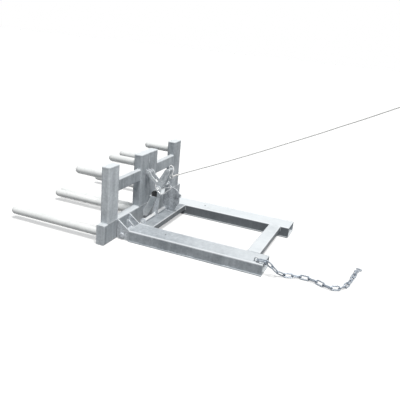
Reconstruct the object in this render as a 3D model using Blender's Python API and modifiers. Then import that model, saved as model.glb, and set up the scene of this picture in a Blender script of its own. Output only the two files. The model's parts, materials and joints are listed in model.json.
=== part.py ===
# Fork-mounted double drum lifter: a base frame with two fork pockets, a hinged head frame with round
# tines for two drums lying side by side, a rope-pulled latch and a safety chain.
# Units are metres. +X is the lifter's right side, the tines point to -Y and +Z is up.
# The origin lies on the floor, in the middle of the steel's width and length.

import bpy
import bmesh
from math import atan2, cos, hypot, pi, radians, sin
from mathutils import Matrix, Vector

# Running values
GAP = 0.0003             # between pieces that touch
CURVE_STEPS = 20         # sides of a turned piece

# Fork pockets
POCKET_SPAN = 0.934      # outside to outside of the pair
POCKET_WIDTH = 0.170
POCKET_HEIGHT = 0.084
POCKET_WALL = 0.006
POCKET_CORNER = 0.010
POCKET_LENGTH = 1.012
POCKET_LIP = 0.008       # the floor plate stands out this far on both sides
END_PLATE = 0.008
VENT_HOLE = 0.014        # diameter, drained for galvanising
VENT_FROM_FRONT = 0.256

# Cross-members
CROSS_HEIGHT = 0.048
CROSS_WALL = 0.005
CROSS_CORNER = 0.008
FRONT_CROSS_WIDTH = 0.120
REAR_CROSS_WIDTH = 0.095
REAR_CROSS_FROM_END = 0.068

# Head frame
HEAD_WIDTH = 1.176       # over the outer uprights
HEAD_TOP = 0.563
HEAD_DEPTH = 0.065
UPRIGHT_WIDTH = 0.136
HEAD_WALL = 0.005
HEAD_CORNER = 0.009
CAP_THICKNESS = 0.006
BOTTOM_RAIL_LENGTH = 1.272
BOTTOM_RAIL_HEIGHT = 0.150
UPPER_RAIL_TOP = 0.452
UPPER_RAIL_HEIGHT = 0.089
UPPER_RAIL_DEPTH = 0.040

# Tines
TINE_DIAMETER = 0.0603
TINE_WALL = 0.005
TINE_NOSE = 0.034        # length of the rounded nose
TINE_TIP = 0.010         # radius of the flat at the end of the nose
LOWER_TINE_LENGTH = 0.800
LOWER_TINE_HEIGHT = 0.065
LOWER_TINE_INSET = 0.071  # outer lower tine from the end of the bottom rail
LOWER_TINE_PITCH = 0.530  # between the two lower tines of one drum
UPPER_TINE_LENGTH = 0.250
UPPER_TINE_HEIGHT = 0.485
UPPER_TINE_PITCH = 0.440  # between the two upper tines of one drum

# Head hinge
HINGE_GAP = 0.094        # head's back to the pockets' end plates
HINGE_BACK = 0.047       # head's back to the hinge axis
HINGE_HEIGHT = 0.035
HINGE_PIN = 0.025
HINGE_PLAY = 0.0003      # radial, pin in barrel
CHEEK_THICKNESS = 0.010
CHEEK_FRONT = 0.004      # head's back to the cheek's front edge
CHEEK_NOSE = 0.043       # radius about the hinge axis
CHEEK_FOOT = 0.004       # height of the cheek's lower edge
CHEEK_TOP_FRONT = 0.147
CHEEK_TOP_BACK = 0.089
BARREL_DIAMETER = 0.048
WEB_THICKNESS = 0.010
WEB_HEIGHT = 0.098
SIDE_PLAY = 0.002        # between a barrel's end and its cheek
PIN_HEAD = 0.038
PIN_HEAD_THICKNESS = 0.007

# Latch stand on the front cross-member
STAND_THICKNESS = 0.010
STAND_FAR_X = -0.085     # face of the far stand towards the latch
STAND_NEAR_X = 0.080     # face of the near stand towards the latch
PIVOT_BACK = 0.1285      # head's back to the latch pivot
PIVOT_HEIGHT = 0.310
PIVOT_PIN = 0.016
PIVOT_PLAY = 0.0003
CROSS_BAR = 0.026        # diameter of the round bar on the front cross-member
CROSS_BAR_BACK = 0.113   # head's back to the bar's axis
CROSS_BAR_END = 0.280    # near end of the bar
LUG_THICKNESS = 0.012

# Stop arm on the head, with the buffer that rests against the near stand
BRACE_X = 0.056          # middle of the arm's thickness
BRACE_THICKNESS = 0.012
BRACE_FOOT_LOW = 0.052
BRACE_FOOT_HIGH = 0.104
BRACE_DROP = 0.071       # top of the arm below the latch pivot
BRACE_SEAT = 0.006       # plate under the buffer
BUFFER_WIDTH = 0.054
BUFFER_HEIGHT = 0.044
BUFFER_DEPTH = 0.043
BUFFER_PLAY = 0.0006     # buffer to the near stand, head upright

# Latch
LATCH_X = 0.036          # halfway between the two latch plates
LATCH_SPREAD = 0.060     # between the middles of the two plates
LATCH_THICKNESS = 0.010
HUB_DIAMETER = 0.030
SLEEVE_DIAMETER = 0.022  # from the hub to the far stand
CATCH_BACK = 0.028       # head's back to the catch pin
CATCH_HEIGHT = 0.4125
CATCH_PIN = 0.016
CATCH_PLAY = 0.001
EAR_THICKNESS = 0.010
EAR_PLAY = 0.004         # each latch plate to the ear beside it
SPACER_DIAMETER = 0.018
ARM_TOP_BACK = 0.1905    # head's back to the spacer at the top of the rope arm
ARM_TOP_HEIGHT = 0.4585
SLOT_WIDTH = 0.014
HANDLE_DIAMETER = 0.010
ROPE_EYE_BACK = 0.2145   # head's back to the rope eye
ROPE_EYE_HEIGHT = 0.414
ROPE_EYE_RADIUS = 0.016
ROPE_EYE_WIRE = 0.008

# Rope
ROPE_DIAMETER = 0.008
ROPE_LOOP_RADIUS = 0.014
ROPE_END_LOOP_RADIUS = 0.035

# Safety chain
CHAIN_WIRE = 0.008
CHAIN_PITCH = 0.034
CHAIN_WIDTH = 0.030
CHAIN_SINK = 0.0020      # links sit this far into each other, so the chain is one solid
CHAIN_STEPS = 12
CHAIN_EASE = 6           # links over which the chain turns from flat to its lie on the floor
EYE_WIRE = 0.008
EYE_SPREAD = 0.030
EYE_RISE = 0.036
HOOK_THICKNESS = 0.006
HOOK_EYE = 0.0102        # radius of the hole
HOOK_REACH = 0.082       # hole's centre to the far end

# Places that follow from the sizes
STEEL_LENGTH = LOWER_TINE_LENGTH + HEAD_DEPTH + HINGE_GAP + END_PLATE + POCKET_LENGTH
HEAD_BACK = LOWER_TINE_LENGTH + HEAD_DEPTH - STEEL_LENGTH / 2
HEAD_FRONT = HEAD_BACK - HEAD_DEPTH
HINGE_Y = HEAD_BACK + HINGE_BACK
PLATE_Y = HEAD_BACK + HINGE_GAP
POCKET_FRONT = PLATE_Y + END_PLATE
POCKET_REAR = POCKET_FRONT + POCKET_LENGTH
POCKET_OUTSIDE = POCKET_SPAN / 2
POCKET_INSIDE = POCKET_OUTSIDE - POCKET_WIDTH
POCKET_X = POCKET_OUTSIDE - POCKET_WIDTH / 2
UPRIGHT_X = HEAD_WIDTH / 2 - UPRIGHT_WIDTH / 2
CENTRE_X = UPRIGHT_WIDTH / 2 + GAP / 2
PIVOT_Y = HEAD_BACK + PIVOT_BACK
CATCH_Y = HEAD_BACK + CATCH_BACK
ROPE_EYE_Y = HEAD_BACK + ROPE_EYE_BACK

FINISHES = {             # colour, roughness, metallic
    "galvanised": ((0.56, 0.58, 0.59), 0.45, 0.75),
    "galvanised_dull": ((0.42, 0.44, 0.45), 0.55, 0.70),
    "bright_steel": ((0.74, 0.75, 0.76), 0.28, 0.95),
    "zinc_chain": ((0.66, 0.68, 0.70), 0.32, 0.90),
    "rope_fibre": ((0.80, 0.80, 0.77), 0.85, 0.0),
    "rubber_black": ((0.03, 0.03, 0.032), 0.70, 0.0),
}


def clear_scene():
    for old in list(bpy.data.objects):
        bpy.data.objects.remove(old, do_unlink=True)


def new_collection(name, hidden=False):
    collection = bpy.data.collections.new(name)
    bpy.context.scene.collection.children.link(collection)
    collection.hide_render = hidden
    return collection


def finish_material(name, finish):
    colour, roughness, metallic = FINISHES[finish]
    material = bpy.data.materials.new(name)
    material.use_nodes = True
    shader = material.node_tree.nodes["Principled BSDF"]
    shader.inputs["Base Color"].default_value = (*colour, 1.0)
    shader.inputs["Roughness"].default_value = roughness
    shader.inputs["Metallic"].default_value = metallic
    return material


def keep(piece, finish):
    """Puts a finished piece in the lifter's collection with a material of its own."""
    for collection in list(piece.users_collection):
        collection.objects.unlink(piece)
    PARTS.objects.link(piece)
    piece.data.materials.clear()
    piece.data.materials.append(finish_material(piece.name, finish))
    return piece


def as_cutter(piece):
    for collection in list(piece.users_collection):
        collection.objects.unlink(piece)
    CUTTERS.objects.link(piece)
    piece.hide_render = True
    piece.display_type = "WIRE"
    return piece


def as_mesh(shape):
    """Turns a curve object into a mesh object with its caps welded."""
    bpy.context.view_layer.update()
    graph = bpy.context.evaluated_depsgraph_get()
    mesh = bpy.data.meshes.new_from_object(shape.evaluated_get(graph))
    work = bmesh.new()
    work.from_mesh(mesh)
    bmesh.ops.remove_doubles(work, verts=work.verts, dist=0.00001)
    bmesh.ops.recalc_face_normals(work, faces=work.faces)
    work.to_mesh(mesh)
    work.free()
    piece = bpy.data.objects.new(shape.name + "_mesh", mesh)
    bpy.context.scene.collection.objects.link(piece)
    piece.matrix_world = shape.matrix_world.copy()
    name = shape.name
    bpy.data.objects.remove(shape, do_unlink=True)
    piece.name = name
    return piece


def boolean(piece, other, operation="DIFFERENCE"):
    modifier = piece.modifiers.new(operation.lower(), "BOOLEAN")
    modifier.operation = operation
    modifier.solver = "EXACT"
    modifier.object = as_cutter(other)
    return piece


# Local axes of an outline drawn in two dimensions, for each direction of its thickness
PLANES = {
    "X": Matrix(((0, 0, 1), (1, 0, 0), (0, 1, 0))).to_4x4(),
    "Y": Matrix(((1, 0, 0), (0, 0, -1), (0, 1, 0))).to_4x4(),
    "Z": Matrix.Identity(4),
}


def extruded(name, outlines, thickness, direction, middle):
    """A solid of even thickness. Outlines hold (Y, Z), (X, Z) or (X, Y) pairs; inner ones are holes."""
    curve = bpy.data.curves.new(name, "CURVE")
    curve.dimensions = "2D"
    curve.fill_mode = "BOTH"
    curve.extrude = thickness / 2
    for outline in outlines:
        spline = curve.splines.new("POLY")
        spline.points.add(len(outline) - 1)
        for point, (u, v) in zip(spline.points, outline):
            point.co = (u, v, 0, 1)
        spline.use_cyclic_u = True
    shape = bpy.data.objects.new(name, curve)
    bpy.context.scene.collection.objects.link(shape)
    shift = {"X": (middle, 0, 0), "Y": (0, middle, 0), "Z": (0, 0, middle)}[direction]
    shape.matrix_world = Matrix.Translation(shift) @ PLANES[direction]
    return as_mesh(shape)


def arc(centre, radius, start, end, steps):
    """Points on an arc, angles in degrees, both ends included."""
    points = []
    for step in range(steps + 1):
        angle = radians(start + (end - start) * step / steps)
        points.append((centre[0] + radius * cos(angle), centre[1] + radius * sin(angle)))
    return points


def circle(centre, radius, steps=24):
    return arc(centre, radius, 0, 360 - 360 / steps, steps - 1)


def rounded_rectangle(width, height, radius, centre, steps=3):
    half_width = width / 2 - radius
    half_height = height / 2 - radius
    points = []
    for side_x, side_y, start in ((1, 1, 0), (-1, 1, 90), (-1, -1, 180), (1, -1, 270)):
        corner = (centre[0] + side_x * half_width, centre[1] + side_y * half_height)
        points += arc(corner, radius, start, start + 90, steps)
    return points


def hollow_section(width, height, wall, radius, centre):
    inner_radius = max(radius - wall, 0.002)
    return [
        rounded_rectangle(width, height, radius, centre),
        rounded_rectangle(width - 2 * wall, height - 2 * wall, inner_radius, centre),
    ]


def bar(name, radius, start, end, sides=24):
    """A round bar between two points."""
    axis = Vector(end) - Vector(start)
    mesh = bpy.data.meshes.new(name)
    work = bmesh.new()
    bmesh.ops.create_cone(
        work, cap_ends=True, segments=sides, radius1=radius, radius2=radius, depth=axis.length
    )
    work.to_mesh(mesh)
    work.free()
    piece = bpy.data.objects.new(name, mesh)
    bpy.context.scene.collection.objects.link(piece)
    turn = Vector((0, 0, 1)).rotation_difference(axis.normalized()).to_matrix().to_4x4()
    piece.matrix_world = Matrix.Translation((Vector(start) + Vector(end)) / 2) @ turn
    return piece


def turned(name, profile, location, turn, steps=CURVE_STEPS):
    """A turned piece: (radius, height) points from the top down the outside, spun about its axis."""
    mesh = bpy.data.meshes.new(name)
    edges = [(index, index + 1) for index in range(len(profile) - 1)]
    mesh.from_pydata([(radius, 0, height) for radius, height in profile], edges, [])
    piece = bpy.data.objects.new(name, mesh)
    bpy.context.scene.collection.objects.link(piece)
    screw = piece.modifiers.new("turn", "SCREW")
    screw.axis = "Z"
    screw.angle = 2 * pi
    screw.steps = steps
    screw.render_steps = steps
    screw.use_merge_vertices = True
    screw.merge_threshold = 0.00001
    piece.matrix_world = Matrix.Translation(location) @ turn
    return piece


def wire(name, points, diameter, resolution=2, closed=False):
    """A round wire or tube along a list of points."""
    curve = bpy.data.curves.new(name, "CURVE")
    curve.dimensions = "3D"
    curve.bevel_depth = diameter / 2
    curve.bevel_resolution = resolution
    curve.use_fill_caps = not closed
    spline = curve.splines.new("POLY")
    spline.points.add(len(points) - 1)
    for point, place in zip(spline.points, points):
        point.co = (*place, 1)
    spline.use_cyclic_u = closed
    shape = bpy.data.objects.new(name, curve)
    bpy.context.scene.collection.objects.link(shape)
    return as_mesh(shape)


def smooth_curve(points):
    """Close points on a smooth curve through the given ones."""
    dense = []
    padded = [points[0], *points, points[-1]]
    for index in range(1, len(padded) - 2):
        before, start, end, after = (Vector(padded[index + shift]) for shift in (-1, 0, 1, 2))
        for step in range(24):
            t = step / 24
            dense.append(
                0.5 * (2 * start + (end - before) * t
                       + (2 * before - 5 * start + 4 * end - after) * t ** 2
                       + (3 * start - before - 3 * end + after) * t ** 3)
            )
    dense.append(Vector(points[-1]))
    return dense


def smooth_path(points, spacing):
    """Evenly spaced points on a smooth curve through the given ones, no closer than the spacing."""
    dense = smooth_curve(points)
    lengths = [0.0]
    for first, second in zip(dense, dense[1:]):
        lengths.append(lengths[-1] + (second - first).length)
    count = max(2, int(lengths[-1] / spacing))
    even = []
    index = 0
    for step in range(count + 1):
        target = lengths[-1] * step / count
        while index < len(lengths) - 2 and lengths[index + 1] < target:
            index += 1
        span = lengths[index + 1] - lengths[index]
        share = (target - lengths[index]) / span
        even.append(dense[index].lerp(dense[index + 1], share))
    return even


def equal_steps(points, stride):
    """Points on the smooth curve, each exactly one stride from the last."""
    dense = smooth_curve(points)
    kept = [dense[0]]
    for first, second in zip(dense, dense[1:]):
        while (second - kept[-1]).length >= stride:
            low, high = 0.0, 1.0
            for halving in range(30):
                share = (low + high) / 2
                if (first.lerp(second, share) - kept[-1]).length < stride:
                    low = share
                else:
                    high = share
            kept.append(first.lerp(second, high))
    return kept


def fork_pocket(name, side):
    """A rectangular tube on a slightly wider floor plate, open at the back."""
    middle = side * POCKET_X
    low = POCKET_WALL
    half = POCKET_WIDTH / 2
    corner = half - POCKET_CORNER
    top = POCKET_HEIGHT - POCKET_CORNER
    outline = [
        (middle - half - POCKET_LIP, 0),
        (middle + half + POCKET_LIP, 0),
        (middle + half + POCKET_LIP, low),
        (middle + half, low),
        *arc((middle + corner, top), POCKET_CORNER, 0, 90, 3),
        *arc((middle - corner, top), POCKET_CORNER, 90, 180, 3),
        (middle - half, low),
        (middle - half - POCKET_LIP, low),
    ]
    inside = rounded_rectangle(
        POCKET_WIDTH - 2 * POCKET_WALL, POCKET_HEIGHT - 2 * POCKET_WALL,
        POCKET_CORNER - POCKET_WALL, (middle, POCKET_HEIGHT / 2),
    )
    front = POCKET_FRONT + GAP
    pocket = extruded(
        name, [outline, inside], POCKET_REAR - front, "Y", (POCKET_REAR + front) / 2
    )
    hole_y = POCKET_FRONT + VENT_FROM_FRONT
    drill = bar(
        name + "_vent", VENT_HOLE / 2,
        (middle, hole_y, POCKET_HEIGHT - 2 * POCKET_WALL), (middle, hole_y, POCKET_HEIGHT + POCKET_WALL), 16,
    )
    return keep(boolean(pocket, drill), "galvanised")


def end_plate(name, side):
    outline = rounded_rectangle(
        POCKET_WIDTH, POCKET_HEIGHT, POCKET_CORNER / 2, (side * POCKET_X, POCKET_HEIGHT / 2)
    )
    plate = extruded(name, [outline], END_PLATE - GAP, "Y", PLATE_Y + (END_PLATE + GAP) / 2)
    return keep(plate, "galvanised")


def cross_member(name, back_edge, width):
    """A flat tube between the pockets, flush with their tops."""
    centre = (back_edge - width / 2, POCKET_HEIGHT - CROSS_HEIGHT / 2)
    section = hollow_section(width, CROSS_HEIGHT, CROSS_WALL, CROSS_CORNER, centre)
    member = extruded(name, section, 2 * (POCKET_INSIDE - GAP), "X", 0)
    return keep(member, "galvanised")


def hinge_cheek(name, outer_face, inward):
    """A gusset in front of a pocket's end plate, with the hinge pin through its round nose."""
    front = HEAD_BACK + CHEEK_FRONT
    nose_drop = HINGE_HEIGHT - CHEEK_FOOT
    foot_angle = 270 - (90 - atan2(nose_drop, (CHEEK_NOSE ** 2 - nose_drop ** 2) ** 0.5) * 180 / pi)
    outline = [
        (PLATE_Y, CHEEK_FOOT),
        (PLATE_Y, CHEEK_TOP_BACK),
        (front + CHEEK_THICKNESS, CHEEK_TOP_FRONT),
        (front, CHEEK_TOP_FRONT),
        *arc((HINGE_Y, HINGE_HEIGHT), CHEEK_NOSE, 180, foot_angle, 5),
    ]
    hole = circle((HINGE_Y, HINGE_HEIGHT), HINGE_PIN / 2 + GAP)
    middle = outer_face + inward * CHEEK_THICKNESS / 2
    return keep(extruded(name, [outline, hole], CHEEK_THICKNESS, "X", middle), "galvanised")


def hinge_pin(name, side):
    """A plain pin with a flat head on its outer end and a shank just past the inner cheek."""
    outer = POCKET_OUTSIDE + GAP
    inner = POCKET_INSIDE - CHEEK_THICKNESS / 2
    profile = [
        (0, PIN_HEAD_THICKNESS),
        (PIN_HEAD / 2 - 0.002, PIN_HEAD_THICKNESS),
        (PIN_HEAD / 2, PIN_HEAD_THICKNESS - 0.002),
        (PIN_HEAD / 2, 0),
        (HINGE_PIN / 2, 0),
        (HINGE_PIN / 2, inner - outer + 0.002),
        (HINGE_PIN / 2 - 0.002, inner - outer),
        (0, inner - outer),
    ]
    turn = Matrix.Rotation(side * pi / 2, 4, "Y")
    pin = turned(name, profile, (side * outer, HINGE_Y, HINGE_HEIGHT), turn, 24)
    return keep(pin, "bright_steel")


def bottom_rail():
    centre = (HEAD_BACK - HEAD_DEPTH / 2, BOTTOM_RAIL_HEIGHT / 2)
    section = hollow_section(HEAD_DEPTH, BOTTOM_RAIL_HEIGHT, HEAD_WALL, HEAD_CORNER, centre)
    length = BOTTOM_RAIL_LENGTH - 2 * (CAP_THICKNESS + GAP)
    return keep(extruded("bottom_rail", section, length, "X", 0), "galvanised")


def rail_cap(name, side):
    centre = (HEAD_BACK - HEAD_DEPTH / 2, BOTTOM_RAIL_HEIGHT / 2)
    outline = rounded_rectangle(HEAD_DEPTH, BOTTOM_RAIL_HEIGHT, HEAD_CORNER, centre)
    middle = side * (BOTTOM_RAIL_LENGTH - CAP_THICKNESS) / 2
    return keep(extruded(name, [outline], CAP_THICKNESS, "X", middle), "galvanised")


def upright(name, middle):
    """A rectangular tube standing on the bottom rail."""
    low = BOTTOM_RAIL_HEIGHT + GAP
    high = HEAD_TOP - CAP_THICKNESS - GAP
    centre = (middle, HEAD_BACK - HEAD_DEPTH / 2)
    section = hollow_section(UPRIGHT_WIDTH, HEAD_DEPTH, HEAD_WALL, HEAD_CORNER, centre)
    return keep(extruded(name, section, high - low, "Z", (high + low) / 2), "galvanised")


def upright_cap(name, middle, width):
    centre = (middle, HEAD_BACK - HEAD_DEPTH / 2)
    outline = rounded_rectangle(width, HEAD_DEPTH, HEAD_CORNER, centre)
    height = HEAD_TOP - CAP_THICKNESS / 2
    return keep(extruded(name, [outline], CAP_THICKNESS, "Z", height), "galvanised")


def upper_rail(name, side):
    """A flat tube between the centre post and an outer upright, flush with the head's back."""
    inner = UPRIGHT_WIDTH + GAP / 2 + GAP
    outer = UPRIGHT_X - UPRIGHT_WIDTH / 2 - GAP
    centre = (HEAD_BACK - UPPER_RAIL_DEPTH / 2, UPPER_RAIL_TOP - UPPER_RAIL_HEIGHT / 2)
    section = hollow_section(UPPER_RAIL_DEPTH, UPPER_RAIL_HEIGHT, CROSS_WALL, CROSS_CORNER, centre)
    rail = extruded(name, section, outer - inner, "X", side * (inner + outer) / 2)
    return keep(rail, "galvanised")


def tine(name, x, height, length):
    """A round tube closed by a rounded nose, its open root on the head's front face."""
    radius = TINE_DIAMETER / 2
    bore = radius - TINE_WALL
    shoulder = length - TINE_NOSE
    profile = [(0, length), (TINE_TIP, length)]
    for step in range(1, 5):
        angle = pi / 2 * (1 - step / 4)
        profile.append((TINE_TIP + (radius - TINE_TIP) * cos(angle), shoulder + TINE_NOSE * sin(angle)))
    profile += [(radius, 0), (bore, 0), (bore, shoulder), (0, length - 2 * TINE_WALL)]
    turn = Matrix.Rotation(pi / 2, 4, "X")
    piece = turned(name, profile, (x, HEAD_FRONT - GAP, height), turn)
    return keep(piece, "galvanised")


def hinge_lug(name, side):
    """Two webs on the head's back that carry the hinge barrel between the cheeks."""
    outer = POCKET_OUTSIDE - CHEEK_THICKNESS - SIDE_PLAY
    inner = POCKET_INSIDE + CHEEK_THICKNESS + SIDE_PLAY
    radius = BARREL_DIAMETER / 2
    back = HEAD_BACK + GAP
    axis = (HINGE_Y, HINGE_HEIGHT)
    bore_radius = HINGE_PIN / 2 + HINGE_PLAY
    web_outline = [
        (back, WEB_HEIGHT),
        (back, HINGE_HEIGHT - radius * 0.8),
        *arc(axis, radius + 0.004, 240, 405, 8),
        (back + 0.014, WEB_HEIGHT),
    ]
    barrel_length = outer - inner - 2 * WEB_THICKNESS
    middle = side * (inner + outer) / 2
    ring = [circle(axis, radius), circle(axis, bore_radius)]
    lug = extruded(name, ring, barrel_length + 0.002, "X", middle)
    for edge, inward in ((outer, -1), (inner, 1)):
        place = side * (edge + inward * WEB_THICKNESS / 2)
        web = extruded(name + "_web", [web_outline, circle(axis, bore_radius)], WEB_THICKNESS, "X", place)
        boolean(lug, web, "UNION")
    return keep(lug, "galvanised_dull")


def stand_plate(name, face, outward, outline, with_bar_hole):
    """An upright plate on the front cross-member that holds one end of the latch pivot."""
    holes = [circle((PIVOT_Y, PIVOT_HEIGHT), PIVOT_PIN / 2 + GAP)]
    if with_bar_hole:
        holes.append(circle(cross_bar_axis(), CROSS_BAR / 2 + GAP))
    middle = face + outward * STAND_THICKNESS / 2
    return keep(extruded(name, [outline, *holes], STAND_THICKNESS, "X", middle), "galvanised_dull")


def cross_bar_axis():
    return (HEAD_BACK + CROSS_BAR_BACK, POCKET_HEIGHT + GAP + CROSS_BAR / 2)


def far_stand():
    """The far plate: broad and rounded, with a neck up to the pivot and one corner drawn out."""
    foot = POCKET_HEIGHT + GAP
    outline = [
        (PLATE_Y + 0.004, foot),
        (PLATE_Y + 0.106, foot),
        *arc((PLATE_Y + 0.066, foot + 0.102), 0.080, -45, 18, 5),
        (PLATE_Y + 0.163, PIVOT_HEIGHT - 0.072),
        (PLATE_Y + 0.143, PIVOT_HEIGHT - 0.064),
        *arc((PLATE_Y + 0.080, PIVOT_HEIGHT - 0.092), 0.067, 25, 95, 5),
        *arc((PIVOT_Y, PIVOT_HEIGHT), 0.019, -20, 200, 8),
    ]
    return stand_plate("latch_stand_far", STAND_FAR_X, -1, outline, False)


def near_stand():
    """The near plate: a slim leg with the round bar through its foot and a front edge for the buffer."""
    foot = POCKET_HEIGHT + GAP
    front = buffer_face()
    outline = [
        (PLATE_Y - 0.004, foot),
        (PLATE_Y + 0.042, foot),
        (PLATE_Y + 0.044, foot + 0.022),
        (PLATE_Y + 0.050, PIVOT_HEIGHT - 0.110),
        (PLATE_Y + 0.057, PIVOT_HEIGHT - 0.048),
        *arc((PIVOT_Y, PIVOT_HEIGHT), 0.024, -20, 245, 10),
        (front, PIVOT_HEIGHT - 0.026),
        (front, PIVOT_HEIGHT - 0.070),
        (PLATE_Y + 0.0005, foot + 0.036),
    ]
    return stand_plate("latch_stand_near", STAND_NEAR_X, 1, outline, True)


def buffer_face():
    """Where the near stand's front edge meets the buffer."""
    return PIVOT_Y - 0.004


def cross_bar():
    """The bright round bar along the front cross-member, from the near lug to the far stand."""
    y, z = cross_bar_axis()
    start = (STAND_FAR_X + GAP, y, z)
    end = (CROSS_BAR_END, y, z)
    return keep(bar("cross_bar", CROSS_BAR / 2, start, end), "bright_steel")


def bar_lug():
    """A C-shaped lug round the bar's near end, standing on the cross-member."""
    y, z = cross_bar_axis()
    reach = CROSS_BAR / 2 + 0.011
    foot = POCKET_HEIGHT + GAP
    outline = [
        (y - reach, foot),
        (y + reach, foot),
        *arc((y, z), reach, 0, 180, 8),
    ]
    hole = circle((y, z), CROSS_BAR / 2 + GAP)
    middle = CROSS_BAR_END - LUG_THICKNESS / 2 - 0.004
    return keep(extruded("bar_lug", [outline, hole], LUG_THICKNESS, "X", middle), "galvanised_dull")


def diagonal_brace():
    """The stop arm: a flat bar slanting up from the bottom rail's back, with a seat for the buffer."""
    back = HEAD_BACK + GAP
    top = PIVOT_HEIGHT - BRACE_DROP
    outline = [
        (back, BRACE_FOOT_LOW),
        (back + 0.037, BRACE_FOOT_LOW + 0.010),
        (PIVOT_Y - 0.0575, top - 0.100),
        (PIVOT_Y - 0.0155, top + BRACE_SEAT - 0.002),
        (PIVOT_Y - 0.0625, top + BRACE_SEAT - 0.002),
        (PIVOT_Y - 0.1060, top - 0.092),
        (back, BRACE_FOOT_HIGH),
    ]
    arm = extruded("diagonal_brace", [outline], BRACE_THICKNESS, "X", BRACE_X)
    seat_outline = [
        (PIVOT_Y - 0.0635, top),
        (PIVOT_Y - 0.0120, top),
        (PIVOT_Y - 0.0120, top + BRACE_SEAT),
        (PIVOT_Y - 0.0635, top + BRACE_SEAT),
    ]
    seat = extruded("brace_seat", [seat_outline], BUFFER_WIDTH, "X", buffer_middle())
    return keep(boolean(arm, seat, "UNION"), "galvanised")


def buffer_middle():
    return BRACE_X - BRACE_THICKNESS / 2 - 0.010 + BUFFER_WIDTH / 2


def stop_buffer():
    """The rubber block on the stop arm that meets the near stand's front edge."""
    low = PIVOT_HEIGHT - BRACE_DROP + BRACE_SEAT + GAP
    rear = buffer_face() - BUFFER_PLAY
    front = rear - BUFFER_DEPTH
    high = low + BUFFER_HEIGHT
    outline = [
        (front, low),
        (rear, low),
        (rear, high - 0.016),
        (rear - 0.015, high - 0.002),
        (rear - 0.028, high),
        (front, high - 0.014),
    ]
    return keep(extruded("stop_buffer", [outline], BUFFER_WIDTH, "X", buffer_middle()), "rubber_black")


def pivot_pin():
    """The latch pivot: a headed pin through both stands."""
    outer = STAND_NEAR_X + STAND_THICKNESS + GAP
    inner = STAND_FAR_X - STAND_THICKNESS - 0.010
    profile = [
        (0, 0.007),
        (0.0125, 0.007),
        (0.014, 0.0055),
        (0.014, 0),
        (PIVOT_PIN / 2, 0),
        (PIVOT_PIN / 2, inner - outer + 0.002),
        (PIVOT_PIN / 2 - 0.002, inner - outer),
        (0, inner - outer),
    ]
    turn = Matrix.Rotation(pi / 2, 4, "Y")
    pin = turned("latch_pivot_pin", profile, (outer, PIVOT_Y, PIVOT_HEIGHT), turn)
    return keep(pin, "bright_steel")


def catch_ear(name, side):
    """A rounded ear on the centre post's back, between the latch plates, that holds the catch pin."""
    back = HEAD_BACK + GAP
    centre = (CATCH_Y, CATCH_HEIGHT)
    outline = [
        (back, CATCH_HEIGHT - 0.030),
        *arc(centre, 0.014, -60, 60, 6),
        (back, CATCH_HEIGHT + 0.022),
    ]
    hole = circle(centre, CATCH_PIN / 2 + GAP, 16)
    reach = (LATCH_SPREAD - LATCH_THICKNESS - EAR_THICKNESS) / 2 - EAR_PLAY
    return keep(extruded(name, [outline, hole], EAR_THICKNESS, "X", LATCH_X + side * reach), "galvanised")


def catch_pin():
    reach = (LATCH_SPREAD + LATCH_THICKNESS) / 2 + 0.004
    start = (LATCH_X - reach, CATCH_Y, CATCH_HEIGHT)
    end = (LATCH_X + reach, CATCH_Y, CATCH_HEIGHT)
    return keep(bar("catch_pin", CATCH_PIN / 2, start, end, 16), "galvanised_dull")


def hook_points():
    """The hook arm, as (along, across) points from the pivot towards the catch pin."""
    reach = hypot(CATCH_BACK - PIVOT_BACK, CATCH_HEIGHT - PIVOT_HEIGHT)
    seat = CATCH_PIN / 2 + CATCH_PLAY
    points = [
        (0.045, 0.019),
        (reach - 0.030, 0.013),
        (reach - 0.012, seat + 0.011),
        (reach + 0.010, seat + 0.011),
        (reach + seat + 0.012, 0.010),
        (reach + seat + 0.012, -0.002),
        (reach + seat + 0.004, -0.014),
        (reach + seat, -0.012),
        *arc((reach, 0), seat, 0, 180, 8),
        (reach - seat, -0.012),
        (reach - 0.020, -0.012),
        (0.036, 0.000),
    ]
    along = ((CATCH_BACK - PIVOT_BACK) / reach, (CATCH_HEIGHT - PIVOT_HEIGHT) / reach)
    across = (along[1], -along[0])
    return [
        (PIVOT_Y + u * along[0] + v * across[0], PIVOT_HEIGHT + u * along[1] + v * across[1])
        for u, v in points
    ]


def latch_outline():
    """One latch plate: the hub, the broad slotted rope arm and the hook arm."""
    pivot = (PIVOT_Y, PIVOT_HEIGHT)
    top = (HEAD_BACK + ARM_TOP_BACK, ARM_TOP_HEIGHT)
    plate = [
        *arc(pivot, 0.019, 200, 345, 6),
        (pivot[0] + 0.026, pivot[1] + 0.012),
        (pivot[0] + 0.046, pivot[1] + 0.055),
        (top[0] + 0.014, top[1] - 0.030),
        *arc((top[0] + 0.004, top[1] + 0.000), 0.016, -10, 100, 5),
        (top[0] - 0.012, top[1] + 0.014),
        (top[0] - 0.020, top[1] + 0.006),
        *hook_points(),
    ]
    low = (pivot[0] + 0.0235, pivot[1] + 0.065)
    high = (top[0] - 0.009, top[1] - 0.0205)
    lean = atan2(high[1] - low[1], high[0] - low[0]) * 180 / pi
    slot = [
        *arc(high, SLOT_WIDTH / 2, lean - 90, lean + 90, 5),
        *arc(low, SLOT_WIDTH / 2, lean + 90, lean + 270, 5),
    ]
    return [plate, slot]


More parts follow.
